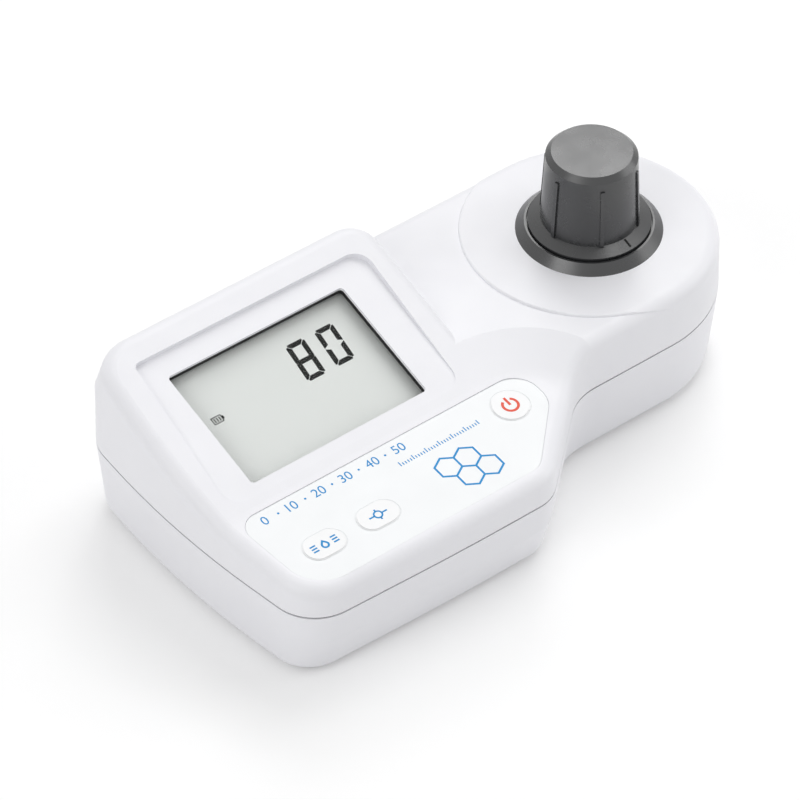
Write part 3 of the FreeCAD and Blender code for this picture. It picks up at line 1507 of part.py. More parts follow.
def build_battery():
    """Battery with clip and leads, and the round bayonet door."""
    case = rounded_box("battery_case", ("battery_length - terminal_height", "battery_width", "battery_thickness"),
                       ("battery_x - terminal_height / 2", "bay_y", "battery_lift"), S.battery_corner)
    body_end = "battery_x + battery_length / 2 - terminal_height"
    level = "battery_lift + battery_thickness / 2"
    studs = []
    ways = []
    for name, side, radius in (("plus", "+", "terminal_radius"), ("minus", "-", "terminal_large_radius")):
        spot = (f"{body_end} - 0.5", f"bay_y {side} terminal_spread", level)
        studs.append(cylinder(name + "_terminal", radius, "terminal_height + 0.5", spot, "x"))
        ways.append(cylinder(name + "_terminal_way", f"{radius} + optic_gap",
                             "terminal_height + 0.5 + optic_gap", spot, "x"))
    piece("battery", fuse("battery_shape", [case, *studs]))
    clip = box("clip_block", ("clip_thickness", "battery_width - 2 * clip_side", "clip_height"), (
        f"{body_end} + optic_gap", "bay_y - battery_width / 2 + clip_side", f"{level} - clip_height / 2"))
    piece("battery_clip", cut("battery_clip_shape", clip, ways))
    disc = turned("cover_disc", [
        ("0", "cover_slot_depth_top"),
        ("cover_grip_radius", "cover_slot_depth_top"),
        ("cover_grip_radius", "0"),
        ("cover_radius", "0"),
        ("cover_radius", "seal_rise"),
        ("seal_inner", "seal_rise"),
        ("seal_inner", "seal_top"),
        ("cover_radius", "seal_top"),
        ("cover_radius", "cover_wall_top"),
        ("cover_wall_inner", "cover_wall_top"),
        ("cover_wall_inner", "cover_thickness"),
        ("cover_pad_radius", "cover_thickness"),
        ("cover_pad_radius", "cover_pad_top"),
        ("0", "cover_pad_top"),
    ])
    place(disc, ("bay_x", "bay_y", "foot_height"))
    lug_disc = cylinder("lug_disc", "cover_radius + lug_reach", "lug_height", ("bay_x", "bay_y", "lug_base"))
    lug_inner = cylinder("lug_inner", "cover_radius - 0.5", "bay_ceiling", ("bay_x", "bay_y", 0))
    shell_ring = cut("lug_ring", lug_disc, [lug_inner])
    bar = centred_box("lug_bar", ("3 * cover_radius", "2 * lug_half_width", "bay_ceiling"), ("bay_x", "bay_y", 0))
    lugs = common("cover_lugs", [shell_ring, bar])
    finger = centred_box("coin_bar", ("cover_bar_length", "cover_bar_width", "cover_slot_depth_top"),
                         ("bay_x", "bay_y", "foot_height"))
    slot = centred_box("coin_slot", ("cover_slot_length", "cover_slot_width", "cover_slot_depth"),
                       ("bay_x", "bay_y", "foot_height - 0.001"))
    piece("battery_cover", cut("battery_cover_shape", fuse("cover_whole", [disc, finger, lugs]), [slot]))
    ring = turned("seal_section_ring", [
        ("seal_inner", "seal_rise"),
        ("seal_outer", "seal_rise"),
        ("seal_outer", "seal_top"),
        ("seal_inner", "seal_top"),
    ])
    piece("battery_cover_seal", place(ring, ("bay_x", "bay_y", "foot_height")))


def route(points, radius):
    """A round cable along straight runs joined by tangent arcs."""
    edges = []
    here = points[0]
    for index in range(1, len(points) - 1):
        corner = points[index]
        back = points[index - 1] - corner
        ahead = points[index + 1] - corner
        half_turn = (math.pi - back.getAngle(ahead)) / 2
        bend = 0.45 * min(back.Length, ahead.Length) / math.tan(half_turn)
        run = bend * math.tan(half_turn)
        back.normalize()
        ahead.normalize()
        start = corner + back * run
        end = corner + ahead * run
        inward = (back + ahead).normalize()
        middle = corner + inward * (bend / math.cos(half_turn) - bend)
        edges.append(Part.LineSegment(here, start).toShape())
        edges.append(Part.Arc(start, middle, end).toShape())
        here = end
    edges.append(Part.LineSegment(here, points[-1]).toShape())
    path = Part.Wire(edges)
    away = (points[1] - points[0]).normalize()
    section = Part.Wire([Part.Circle(points[0], away, radius).toShape()])
    return path.makePipeShell([section], True, True)


def board_underside(y):
    """Height of the main board's underside at a distance back."""
    angle = math.radians(S.display_angle - S.bezel_angle)
    along = (y - S.crease_y + S.board_under * math.sin(angle)) / math.cos(angle)
    return S.crease_z + along * math.sin(angle) + S.board_under * math.cos(angle)


def build_cables():
    """Battery leads and the cables of the two optics boards."""
    level = S.battery_lift + S.battery_thickness / 2
    start_x = S.battery_x + S.battery_length / 2 - S.terminal_height + S.optic_gap + S.clip_thickness
    leads = []
    for side in (-1, 1):
        y = S.bay_y + side * S.lead_spread
        top = board_underside(y) - S.lead_radius * math.tan(math.radians(S.display_angle))
        leads.append(made(f"lead_{side + 1}", route(
            [V(start_x, y, level), V(S.lead_x, y, level), V(S.lead_x, y, top)], S.lead_radius)))
    piece("battery_leads", group("lead_pair", leads))

    high = S.beam_height + S.cable_lift
    near = S.axis_y - S.holder_length / 2 - S.board_thickness
    far = S.axis_y + S.holder_length / 2 + S.board_thickness
    x = S.axis_x - S.cable_offset
    low_run = high + S.cable_climb
    end_x = S.head_right - S.cable_end_reach
    cables = []
    for name, start, sign, end_y in (
        ("lamp_cable", near, -1, S.axis_y - S.cable_low_end),
        ("detector_cable", far, 1, S.axis_y + S.cable_high_end),
    ):
        bend_y = start + sign * S.cable_clear
        top = board_underside(end_y) - S.cable_radius * math.tan(math.radians(S.display_angle))
        cables.append(made(name, route([
            V(x, start, high),
            V(x, bend_y, high),
            V(x - S.cable_first_run, bend_y, high + 1),
            V(x - S.cable_second_run, (bend_y + end_y) / 2, low_run),
            V(end_x + S.cable_third_run, end_y, low_run + 1),
            V(end_x, end_y, low_run + 1.5),
            V(end_x, end_y, top),
        ], S.cable_radius)))
    piece("sensor_cables", group("sensor_cable_pair", cables))


def build_cap():
    """The ribbed knob cap that shuts the light out of the well."""
    cap = turned("cap_turned", [
        ("cap_bore", "-cap_spigot_depth"),
        ("cap_spigot_radius", "-cap_spigot_depth"),
        ("cap_spigot_radius", "0"),
        ("cap_flange_radius", "0"),
        ("cap_flange_radius", "cap_flange_edge"),
        ("cap_base_radius", "cap_flange_top"),
        ("cap_top_radius", "cap_shoulder"),
        ("cap_edge_radius", "cap_rim"),
        ("0", "cap_crown"),
        ("0", "cap_roof_under"),
        ("cap_bore_top", "cap_roof_under"),
    ])
    ribs = profile(cap, "rib_section", "XZ_Plane", [
        ("cap_rib_root", "cap_flange_top"),
        ("cap_rib_base", "cap_flange_top"),
        ("cap_rib_tip", "cap_rib_top"),
        ("cap_rib_root", "cap_rib_top"),
    ])
    pad = cap.newObject("PartDesign::Pad", "rib")
    pad.Profile = ribs
    pad.SideType = "Symmetric"
    bind(pad, Length="cap_rib_width")
    turns = cap.newObject("PartDesign::PolarPattern", "ribs")
    turns.Originals = [pad]
    turns.Axis = (axis_plane(cap, "Z_Axis"), [""])
    turns.Angle = 360.0
    turns.Occurrences = 6
    cap.Tip = turns
    piece("light_cap", on_axis(cap, "cap_seat", S.cap_rib_angle))


def check_and_write():
    """Writes every sub-part once the whole document is sound."""
    DOC.recompute()
    for obj in DOC.Objects:
        if "Invalid" in obj.State or "Error" in obj.State:
            raise RuntimeError(f"{obj.Name} did not compute")
    for obj in PIECES:
        if obj.Shape.isNull() or not obj.Shape.isValid():
            raise RuntimeError(f"{obj.Label} is not a sound solid")
    os.makedirs("parts", exist_ok=True)
    for obj in PIECES:
        obj.Shape.exportStep(f"parts/{obj.Label}.step")
        print(obj.Label, len(obj.Shape.Solids), round(obj.Shape.Volume, 1))


build_upper_case()
build_lower_case()
build_case_fittings()
build_display()
build_keypad()
build_ribbon()
build_holder()
build_optics()
build_battery()
build_cables()
build_cap()
check_and_write()
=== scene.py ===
import json
import math

import bmesh
import bpy
from mathutils import Matrix, Vector


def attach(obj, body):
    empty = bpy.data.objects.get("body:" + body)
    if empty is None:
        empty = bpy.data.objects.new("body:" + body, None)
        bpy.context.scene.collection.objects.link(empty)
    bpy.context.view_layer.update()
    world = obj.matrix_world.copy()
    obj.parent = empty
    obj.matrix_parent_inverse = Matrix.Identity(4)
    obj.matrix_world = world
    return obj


# Portable photometer: finishes, printed graphics, display segments, studio and
# camera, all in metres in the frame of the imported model.

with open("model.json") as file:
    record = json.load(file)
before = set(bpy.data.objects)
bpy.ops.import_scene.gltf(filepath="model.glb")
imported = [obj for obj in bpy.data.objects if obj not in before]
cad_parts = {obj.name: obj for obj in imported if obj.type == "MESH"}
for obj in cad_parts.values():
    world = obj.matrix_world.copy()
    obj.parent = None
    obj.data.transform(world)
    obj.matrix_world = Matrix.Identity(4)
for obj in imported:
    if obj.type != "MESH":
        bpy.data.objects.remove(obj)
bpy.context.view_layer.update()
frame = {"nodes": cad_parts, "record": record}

MM = 0.001
ROOT = "instrument"

# The case: where its top creases, and the tilt of its two sloping faces
CREASE = Vector((0.0, -16.4, 38.7146)) * MM
KEYPAD_TILT = math.radians(5.0)
BEZEL_TILT = math.radians(16.0)
OVERLAY_FACE = -0.10
KEY_FACE = 0.25
GLASS_FACE = -4.35

# Camera and studio
CAMERA_AZIMUTH = math.radians(38.0)
CAMERA_ELEVATION = math.radians(43.42)
CAMERA_TARGET = Vector((-4.57, 21.28, 7.34)) * MM
CAMERA_DISTANCE = 1.311
CAMERA_SENSOR = 36.0
CAMERA_LENS = 204.3
CAMERA_NEAR = 0.05
CAMERA_FAR = 50.0


# Shader helpers

MOTTLE_SCALE = 45.0
GLOSS_SCALE = 120.0
PANE_GLOSS_SCALE = 60.0
CLEAR_GLOSS_SPREAD = 0.03
GRAIN_HEIGHT = 0.00004
DRAWN_HEIGHT = 0.00002
DRAWN_RELIEF = 0.15


def new_material(name):
    """A material with an empty node tree but for its output and main shader."""
    material = bpy.data.materials.new(name)
    material.use_nodes = True
    nodes = material.node_tree.nodes
    nodes.clear()
    output = nodes.new("ShaderNodeOutputMaterial")
    shader = nodes.new("ShaderNodeBsdfPrincipled")
    material.node_tree.links.new(shader.outputs["BSDF"], output.inputs["Surface"])
    return material, shader


def noise(material, scale, detail=3.0, roughness=0.55):
    """Noise in object space, so that it keeps its size on every piece."""
    nodes, links = material.node_tree.nodes, material.node_tree.links
    place = nodes.new("ShaderNodeTexCoord")
    node = nodes.new("ShaderNodeTexNoise")
    node.inputs["Scale"].default_value = scale
    node.inputs["Detail"].default_value = detail
    node.inputs["Roughness"].default_value = roughness
    links.new(place.outputs["Object"], node.inputs["Vector"])
    return node.outputs["Fac"]


def spread(material, source, low, high, start=0.3, end=0.7):
    """A value that runs between two limits."""
    node = material.node_tree.nodes.new("ShaderNodeMapRange")
    node.inputs["From Min"].default_value = start
    node.inputs["From Max"].default_value = end
    node.inputs["To Min"].default_value = low
    node.inputs["To Max"].default_value = high
    material.node_tree.links.new(source, node.inputs["Value"])
    return node.outputs["Result"]


def blend_colours(material, source, first, second):
    """A colour that runs between two colours."""
    node = material.node_tree.nodes.new("ShaderNodeMix")
    node.data_type = "RGBA"
    node.inputs["A"].default_value = (*first, 1.0)
    node.inputs["B"].default_value = (*second, 1.0)
    material.node_tree.links.new(source, node.inputs["Factor"])
    return node.outputs["Result"]


def add_bump(material, shader, source, strength, distance):
    """Fine relief from a height."""
    node = material.node_tree.nodes.new("ShaderNodeBump")
    node.inputs["Strength"].default_value = strength
    node.inputs["Distance"].default_value = distance
    material.node_tree.links.new(source, node.inputs["Height"])
    material.node_tree.links.new(node.outputs["Normal"], shader.inputs["Normal"])


def plastic(name, light, dark, roughness, grain, relief, specular=0.5, coat=0.0):
    """Moulded plastic: slight mottling, uneven gloss and a fine grain."""
    material, shader = new_material(name)
    tone = spread(material, noise(material, MOTTLE_SCALE), 0.0, 1.0)
    material.node_tree.links.new(blend_colours(material, tone, light, dark), shader.inputs["Base Color"])
    gloss = spread(material, noise(material, GLOSS_SCALE), roughness - 0.04, roughness + 0.05)
    material.node_tree.links.new(gloss, shader.inputs["Roughness"])
    shader.inputs["Specular IOR Level"].default_value = specular
    shader.inputs["Coat Weight"].default_value = coat
    add_bump(material, shader, noise(material, grain, 4.0), relief, GRAIN_HEIGHT)
    return material


def metal(name, light, dark, roughness, grain):
    """Plated or bright metal with fine drawing marks."""
    material, shader = new_material(name)
    tone = spread(material, noise(material, grain, 5.0), 0.0, 1.0)
    material.node_tree.links.new(blend_colours(material, tone, light, dark), shader.inputs["Base Color"])
    gloss = spread(material, noise(material, grain * 2), roughness - 0.06, roughness + 0.08)
    material.node_tree.links.new(gloss, shader.inputs["Roughness"])
    shader.inputs["Metallic"].default_value = 1.0
    add_bump(material, shader, noise(material, grain * 4), DRAWN_RELIEF, DRAWN_HEIGHT)
    return material


def clear(name, colour, roughness, ior, tint_scale):
    """Clear plastic or glass, with the faintest unevenness."""
    material, shader = new_material(name)
    shader.inputs["Base Color"].default_value = (*colour, 1.0)
    shader.inputs["Transmission Weight"].default_value = 1.0
    shader.inputs["IOR"].default_value = ior
    gloss = spread(material, noise(material, tint_scale), roughness, roughness + CLEAR_GLOSS_SPREAD)
    material.node_tree.links.new(gloss, shader.inputs["Roughness"])
    return material


def thin_clear(name, colour, alpha, roughness):
    """A flat clear pane that lets the light straight through."""
    material, shader = new_material(name)
    shader.inputs["Base Color"].default_value = (*colour, 1.0)
    shader.inputs["Alpha"].default_value = alpha
    gloss = spread(material, noise(material, PANE_GLOSS_SCALE), roughness, roughness + CLEAR_GLOSS_SPREAD)
    material.node_tree.links.new(gloss, shader.inputs["Roughness"])
    return material


def printed(name, colour, worn):
    """Printing ink with a very slight unevenness."""
    return plastic(name, colour, worn, 0.55, 5200.0, 0.08, 0.2)


HOUSING = plastic("housing_plastic", (0.875, 0.875, 0.905), (0.86, 0.86, 0.893), 0.42, 4200.0, 0.22, 0.45)
OVERLAY = plastic("overlay_film", (0.885, 0.90, 0.91), (0.87, 0.885, 0.895), 0.36, 6000.0, 0.10, 0.45)
KEY_FILM = plastic("key_film", (0.895, 0.90, 0.905), (0.88, 0.885, 0.89), 0.34, 6000.0, 0.10, 0.45)
CAP_PLASTIC = plastic("cap_plastic", (0.020, 0.021, 0.0225), (0.015, 0.0155, 0.017), 0.28, 3800.0, 0.20, 0.9)
BLACK_PLASTIC = plastic(
    "optics_plastic", (0.016, 0.016, 0.017), (0.010, 0.010, 0.011), 0.55, 3200.0, 0.35, 0.4)
RUBBER = plastic("seal_rubber_finish", (0.022, 0.022, 0.023), (0.012, 0.012, 0.013), 0.72, 2600.0, 0.45, 0.3)
FOOT_RUBBER = plastic(
    "foot_rubber_finish", (0.030, 0.030, 0.032), (0.018, 0.018, 0.019), 0.68, 2400.0, 0.5, 0.3)
LCD = plastic("lcd_reflector", (0.900, 0.930, 0.905), (0.885, 0.917, 0.890), 0.45, 7000.0, 0.12, 0.2)
FRAME_PLASTIC = plastic("inner_frame_plastic", (0.62, 0.62, 0.62), (0.56, 0.56, 0.57), 0.5, 3000.0, 0.2)
ELASTOMER = plastic("contact_elastomer", (0.42, 0.13, 0.11), (0.30, 0.09, 0.08), 0.6, 2400.0, 0.3)
BOARD = plastic("board_mask", (0.012, 0.13, 0.045), (0.008, 0.095, 0.034), 0.28, 2000.0, 0.25, 0.5, 0.2)
EPOXY = plastic("chip_epoxy", (0.018, 0.018, 0.020), (0.012, 0.012, 0.013), 0.6, 3000.0, 0.3)
SMALL_PARTS = plastic("small_parts_finish", (0.42, 0.36, 0.25), (0.34, 0.29, 0.20), 0.5, 1800.0, 0.2)
RIBBON = plastic("ribbon_film", (0.52, 0.52, 0.50), (0.44, 0.44, 0.43), 0.4, 1500.0, 0.15)
BATTERY = plastic("battery_wrap", (0.045, 0.050, 0.070), (0.035, 0.040, 0.055), 0.32, 1600.0, 0.15, 0.5, 0.2)
WIRE = plastic("wire_sleeve", (0.030, 0.030, 0.033), (0.020, 0.020, 0.022), 0.5, 2600.0, 0.2)
STEEL = metal("zinc_steel", (0.62, 0.62, 0.63), (0.50, 0.50, 0.52), 0.32, 900.0)
SPRING_STEEL = metal("spring_steel_finish", (0.70, 0.70, 0.71), (0.60, 0.60, 0.62), 0.25, 1100.0)
WINDOW = thin_clear("window_acrylic", (0.03, 0.032, 0.032), 0.05, 0.05)
LENS = clear("lens_acrylic", (0.98, 0.98, 0.99), 0.01, 1.52, 80.0)
LAMP = clear("lamp_epoxy", (0.80, 0.90, 0.98), 0.05, 1.55, 80.0)
FILTER = clear("filter_glass", (0.25, 0.70, 0.40), 0.02, 1.52, 80.0)
INK_BLUE = printed("blue_ink", (0.022, 0.275, 0.62), (0.030, 0.295, 0.65))
INK_RED = printed("red_ink", (0.83, 0.13, 0.085), (0.80, 0.12, 0.08))
SEGMENT = plastic("lcd_segment", (0.016, 0.017, 0.016), (0.020, 0.021, 0.020), 0.6, 5000.0, 0.05, 0.1)

FINISHES = {
    "housing": HOUSING,
    "seal_rubber": RUBBER,
    "steel": STEEL,
    "foot_rubber": FOOT_RUBBER,
    "window": WINDOW,
    "lcd": LCD,
    "frame_plastic": FRAME_PLASTIC,
    "elastomer": ELASTOMER,
    "circuit_board": BOARD,
    "chip": EPOXY,
    "board_parts": SMALL_PARTS,
    "overlay": OVERLAY,
    "keys": KEY_FILM,
    "ribbon": RIBBON,
    "optics_black": BLACK_PLASTIC,
    "spring_steel": SPRING_STEEL,
    "clear_optic": LENS,
    "lamp_lens": LAMP,
    "filter": FILTER,
    "battery_shell": BATTERY,
    "wire": WIRE,
    "cap": CAP_PLASTIC,
}


def dress_nodes():
    """Gives every CAD node the finish of its material slot."""
    slots = {row["node"]: row["material_slot"] for row in frame["record"]["subparts"]}
    for node, obj in frame["nodes"].items():
        obj.data.materials.clear()
        obj.data.materials.append(FINISHES[slots[node]])


# Flat pieces printed or laid on a tilted face

PLACE_DIGITS = 4
ARC_STEPS = 20


def tilted(angle):
    """The frame of a sloping face, from the crease of the case."""
    return Matrix.Translation(CREASE) @ Matrix.Rotation(angle, 4, "X")


KEYPAD = tilted(KEYPAD_TILT)
BEZEL = tilted(BEZEL_TILT)


def make_piece(name, mesh, face, material, body):
    """Puts a mesh drawn in millimetres on a sloping face and lets it ride."""
    bmesh.ops.recalc_face_normals(mesh, faces=mesh.faces)
    data = bpy.data.meshes.new(name)
    mesh.to_mesh(data)
    mesh.free()
    data.transform(face @ Matrix.Scale(MM, 4))
    data.materials.append(material)
    obj = bpy.data.objects.new(name, data)
    bpy.context.scene.collection.objects.link(obj)
    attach(obj, body)


def add_prism(mesh, points, low, high):
    """A closed plate between two heights over a flat outline."""
    bottom = [mesh.verts.new((x, y, low)) for x, y in points]
    top = [mesh.verts.new((x, y, high)) for x, y in points]
    count = len(points)
    mesh.faces.new(list(reversed(bottom)))
    mesh.faces.new(top)
    for index in range(count):
        after = (index + 1) % count
        mesh.faces.new((bottom[index], bottom[after], top[after], top[index]))


def add_band(mesh, outer, inner, low, high, closed=True):
    """A closed band between two outlines with as many points each."""
    rings = [
        [mesh.verts.new((x, y, z)) for x, y in outline]
        for outline, z in ((outer, low), (outer, high), (inner, high), (inner, low))
    ]
    count = len(outer)
    last = count if closed else count - 1
    for index in range(last):
        after = (index + 1) % count
        for ring in range(4):
            here, there = rings[ring], rings[(ring + 1) % 4]
            mesh.faces.new((here[index], here[after], there[after], there[index]))
    if not closed:
        for index, order in ((0, 1), (count - 1, -1)):
            mesh.faces.new([ring[index] for ring in rings][::order])


def circle_points(x, y, radius, start=0.0, turn=360.0, steps=48):
    """Points round an arc."""
    full = abs(turn) >= 360.0
    count = steps if full else steps + 1
    return [
        (
            x + radius * math.cos(math.radians(start + turn * index / steps)),
            y + radius * math.sin(math.radians(start + turn * index / steps)),
        )
        for index in range(count)
    ]


def place_of(point):
    """A point's rounded place, the same for corners that meet."""
    return tuple(round(value, PLACE_DIGITS) for value in point)


def add_tiles(mesh, tiles, low, high):
    """One plate from flat tiles that share their corners and sides."""
    corners = {}
    sides = {}

    def corner(point, z):
        key = (*place_of(point), z)
        if key not in corners:
            corners[key] = mesh.verts.new((point[0], point[1], z))
        return corners[key]

    for tile in tiles:
        mesh.faces.new([corner(point, high) for point in tile])
        mesh.faces.new([corner(point, low) for point in reversed(tile)])
        for index, point in enumerate(tile):
            after = tile[(index + 1) % len(tile)]
            pair = frozenset((corner(point, low), corner(after, low)))
            sides.setdefault(pair, []).append((point, after))
    for uses in sides.values():
        if len(uses) == 1:
            point, after = uses[0]
            mesh.faces.new((
                corner(point, low), corner(after, low), corner(after, high), corner(point, high)))


def add_stroke(mesh, start, end, width, low, high):
    """A straight stroke with square ends."""
    along = (Vector(end) - Vector(start)).normalized()
    side = Vector((-along.y, along.x)) * width / 2
    a, b = Vector(start), Vector(end)
    points = [a + side, a - side, b - side, b + side]
    add_prism(mesh, [tuple(p) for p in points], low, high)


# Graphics on the keypad overlay

PRINT_FOOT = 0.005
PRINT_TOP = 0.020
PRINT_LOW = OVERLAY_FACE + PRINT_FOOT
PRINT_HIGH = OVERLAY_FACE + PRINT_TOP
KEY_PRINT_LOW = KEY_FACE + PRINT_FOOT
KEY_PRINT_HIGH = KEY_FACE + PRINT_TOP

HEX_PITCH = 6.7
HEX_STROKE = 0.62
HEX_START = (-23.35, -16.6)
HEX_SIDES = 6
HEX_CORNER = 30.0
HEX_CELLS = ((0.0, 0.0), (-1.0, 0.0), (0.5, -1.0), (-0.5, -1.0))

SCALE_LEFT = -83.0
SCALE_RIGHT = -37.0
SCALE_MIDDLE = -3.1
SCALE_NUMBERS = ("0", "10", "20", "30", "40", "50")
NUMBER_HEIGHT = 3.0
DOT_RADIUS = 0.35

TICKS_LEFT = -40.3
TICKS_RIGHT = -13.0
TICKS_LOW = -8.9
TICK_COUNT = 31
TICK_GROUP = 5
TICK_WIDTH = 0.32
TICK_HEIGHT = 1.0
TICK_TALL = 1.7

POWER_KEY = (-1.6, -8.5)
POWER_KEY_RADIUS = 5.6
READ_KEY = (-74.9, -19.3)
CALIBRATION_KEY = (-56.6, -19.3)
OVAL_LENGTH = 13.0
OVAL_WIDTH = 8.6
KEY_GAP = 0.3
FILM_CLEARANCE = 0.04
FILM_LOW = -0.44
FILM_HIGH = -0.17

SYMBOL_STROKE = 0.5
POWER_OUTER = 2.65
POWER_INNER = 1.85
POWER_START = 122.0
POWER_TURN = 296.0
POWER_STEPS = 40
POWER_BAR = 3.1
POWER_BAR_WIDTH = 0.8
MEASURE_NEAR = 2.5
MEASURE_FAR = 4.3
MEASURE_PITCH = 1.0
DROP_OUTLINES = ((1.25, 2.0), (0.65, 1.05))
DROP_LOWERED = 0.35
DROP_STEPS = 30
ZERO_OUTER = 1.45
ZERO_INNER = 0.95
ZERO_START = 1.3
ZERO_LONG = 3.0
ZERO_SHORT = 2.0


def add_number(mesh, text, x, y, height, low, high):
    """Plain digits centred on a place."""
    curve = bpy.data.curves.new("digits", "FONT")
    curve.body = text
    # Half of a depth of one, which the scale below turns into the ink's
    curve.extrude = 0.5
    holder = bpy.data.objects.new("digits", curve)
    data = bpy.data.meshes.new_from_object(holder)
    corners = [Vector(vertex.co) for vertex in data.vertices]
    left, right = min(c.x for c in corners), max(c.x for c in corners)
    base, top = min(c.y for c in corners), max(c.y for c in corners)
    size = height / (top - base)
    data.transform(
        Matrix.Translation((x, y, (low + high) / 2))
        @ Matrix.Diagonal((size, size, high - low, 1.0))
        @ Matrix.Translation((-(left + right) / 2, -(base + top) / 2, 0.0)))
    mesh.from_mesh(data)
    bpy.data.meshes.remove(data)
    bpy.data.objects.remove(holder)
    bpy.data.curves.remove(curve)


def draw_hexagons(mesh):
    """Four cells of a honeycomb in outline, with one line between two cells."""
    radius = HEX_PITCH / math.sqrt(3.0)
    reach = HEX_STROKE / math.sqrt(3.0)
    tiles = []
    outward = {}
    uses = {}
    for column, row in HEX_CELLS:
        x = HEX_START[0] + column * HEX_PITCH
        y = HEX_START[1] + row * HEX_PITCH * math.sqrt(3.0) / 2
        outer = circle_points(x, y, radius, HEX_CORNER, 360.0, HEX_SIDES)
        inner = circle_points(x, y, radius - reach, HEX_CORNER, 360.0, HEX_SIDES)
        for index in range(HEX_SIDES):
            after = (index + 1) % HEX_SIDES
            tiles.append((inner[index], outer[index], outer[after], inner[after]))
            place = place_of(outer[index])
            there = place_of(outer[after])
            away = Vector(outer[index]) - Vector((x, y))
            outward[place] = outward.get(place, Vector((0.0, 0.0))) + away
            uses.setdefault(frozenset((place, there)), []).append((outer[index], outer[after]))
    for pairs in uses.values():
        if len(pairs) == 1:
            here, there = pairs[0]
            moved = []
            for point in (there, here):
                away = outward[place_of(point)].normalized() * reach
                moved.append((point[0] + away.x, point[1] + away.y))
            tiles.append((here, moved[1], moved[0], there))
    add_tiles(mesh, tiles, PRINT_LOW, PRINT_HIGH)


def draw_scale(mesh):
    """Plain numbers in a row, with a dot between each two."""
    step = (SCALE_RIGHT - SCALE_LEFT) / (len(SCALE_NUMBERS) - 1)
    for index, number in enumerate(SCALE_NUMBERS):
        x = SCALE_LEFT + index * step
        add_number(mesh, number, x, SCALE_MIDDLE, NUMBER_HEIGHT, PRINT_LOW, PRINT_HIGH)
        if index:
            dot = circle_points(x - step / 2, SCALE_MIDDLE, DOT_RADIUS, 0.0, 360.0, ARC_STEPS)
            add_prism(mesh, dot, PRINT_LOW, PRINT_HIGH)


def draw_ticks(mesh):
    """A row of fine marks, every fifth one taller."""
    step = (TICKS_RIGHT - TICKS_LEFT) / (TICK_COUNT - 1)
    for index in range(TICK_COUNT):
        x = TICKS_LEFT + index * step
        top = TICKS_LOW + (TICK_TALL if index % TICK_GROUP == 0 else TICK_HEIGHT)
        add_stroke(mesh, (x, TICKS_LOW), (x, top), TICK_WIDTH, PRINT_LOW, PRINT_HIGH)


def draw_power(mesh):
    """An open ring with a bar through its gap."""
    x, y = POWER_KEY
    outer = circle_points(x, y, POWER_OUTER, POWER_START, POWER_TURN, POWER_STEPS)
    inner = circle_points(x, y, POWER_INNER, POWER_START, POWER_TURN, POWER_STEPS)
    add_band(mesh, outer, inner, KEY_PRINT_LOW, KEY_PRINT_HIGH, closed=False)
    add_stroke(mesh, (x, y), (x, y + POWER_BAR), POWER_BAR_WIDTH, KEY_PRINT_LOW, KEY_PRINT_HIGH)


def draw_measure(mesh):
    """A drop in outline between two sets of three strokes."""
    x, y = READ_KEY
    for side in (-1, 1):
        for row in (-1, 0, 1):
            start = (x + side * MEASURE_NEAR, y + row * MEASURE_PITCH)
            end = (x + side * MEASURE_FAR, y + row * MEASURE_PITCH)
            add_stroke(mesh, start, end, SYMBOL_STROKE, KEY_PRINT_LOW, KEY_PRINT_HIGH)
    outlines = []
    middle = y - DROP_LOWERED
    for radius, tip in DROP_OUTLINES:
        turn = math.degrees(math.acos(radius / tip))
        arc = circle_points(x, middle, radius, 90.0 + turn, 360.0 - 2 * turn, DROP_STEPS)
        outlines.append([(x, middle + tip)] + arc)
    add_band(mesh, *outlines, KEY_PRINT_LOW, KEY_PRINT_HIGH)


def draw_zero(mesh):
    """A ring with four short strokes that point to its middle."""
    x, y = CALIBRATION_KEY
    outer = circle_points(x, y, ZERO_OUTER)
    inner = circle_points(x, y, ZERO_INNER)
    add_band(mesh, outer, inner, KEY_PRINT_LOW, KEY_PRINT_HIGH)
    for angle in range(0, 360, 90):
        along = Vector((math.cos(math.radians(angle)), math.sin(math.radians(angle))))
        reach = ZERO_LONG if angle % 180 == 0 else ZERO_SHORT
        start = Vector((x, y)) + along * ZERO_START
        end = Vector((x, y)) + along * reach
        add_stroke(mesh, start, end, SYMBOL_STROKE, KEY_PRINT_LOW, KEY_PRINT_HIGH)


def stadium(x, y, length, width, grow, steps=ARC_STEPS):
    """An oval with round ends, let out by an amount."""
    radius = width / 2 + grow
    half = (length - width) / 2
    return (circle_points(x + half, y, radius, -90.0, 180.0, steps)
            + circle_points(x - half, y, radius, 90.0, 180.0, steps))


def build_key_films():
    """The pale film that closes the gap round each key, a little under the overlay."""
    round_key = 2 * POWER_KEY_RADIUS
    for name, (x, y), length, width in (
        ("power_key_film", POWER_KEY, round_key, round_key),
        ("read_key_film", READ_KEY, OVAL_LENGTH, OVAL_WIDTH),
        ("calibration_key_film", CALIBRATION_KEY, OVAL_LENGTH, OVAL_WIDTH),
    ):
        mesh = bmesh.new()
        outer = stadium(x, y, length, width, KEY_GAP - FILM_CLEARANCE / 4)
        inner = stadium(x, y, length, width, FILM_CLEARANCE)
        add_band(mesh, outer, inner, FILM_LOW, FILM_HIGH)
        make_piece(name, mesh, KEYPAD, OVERLAY, ROOT)


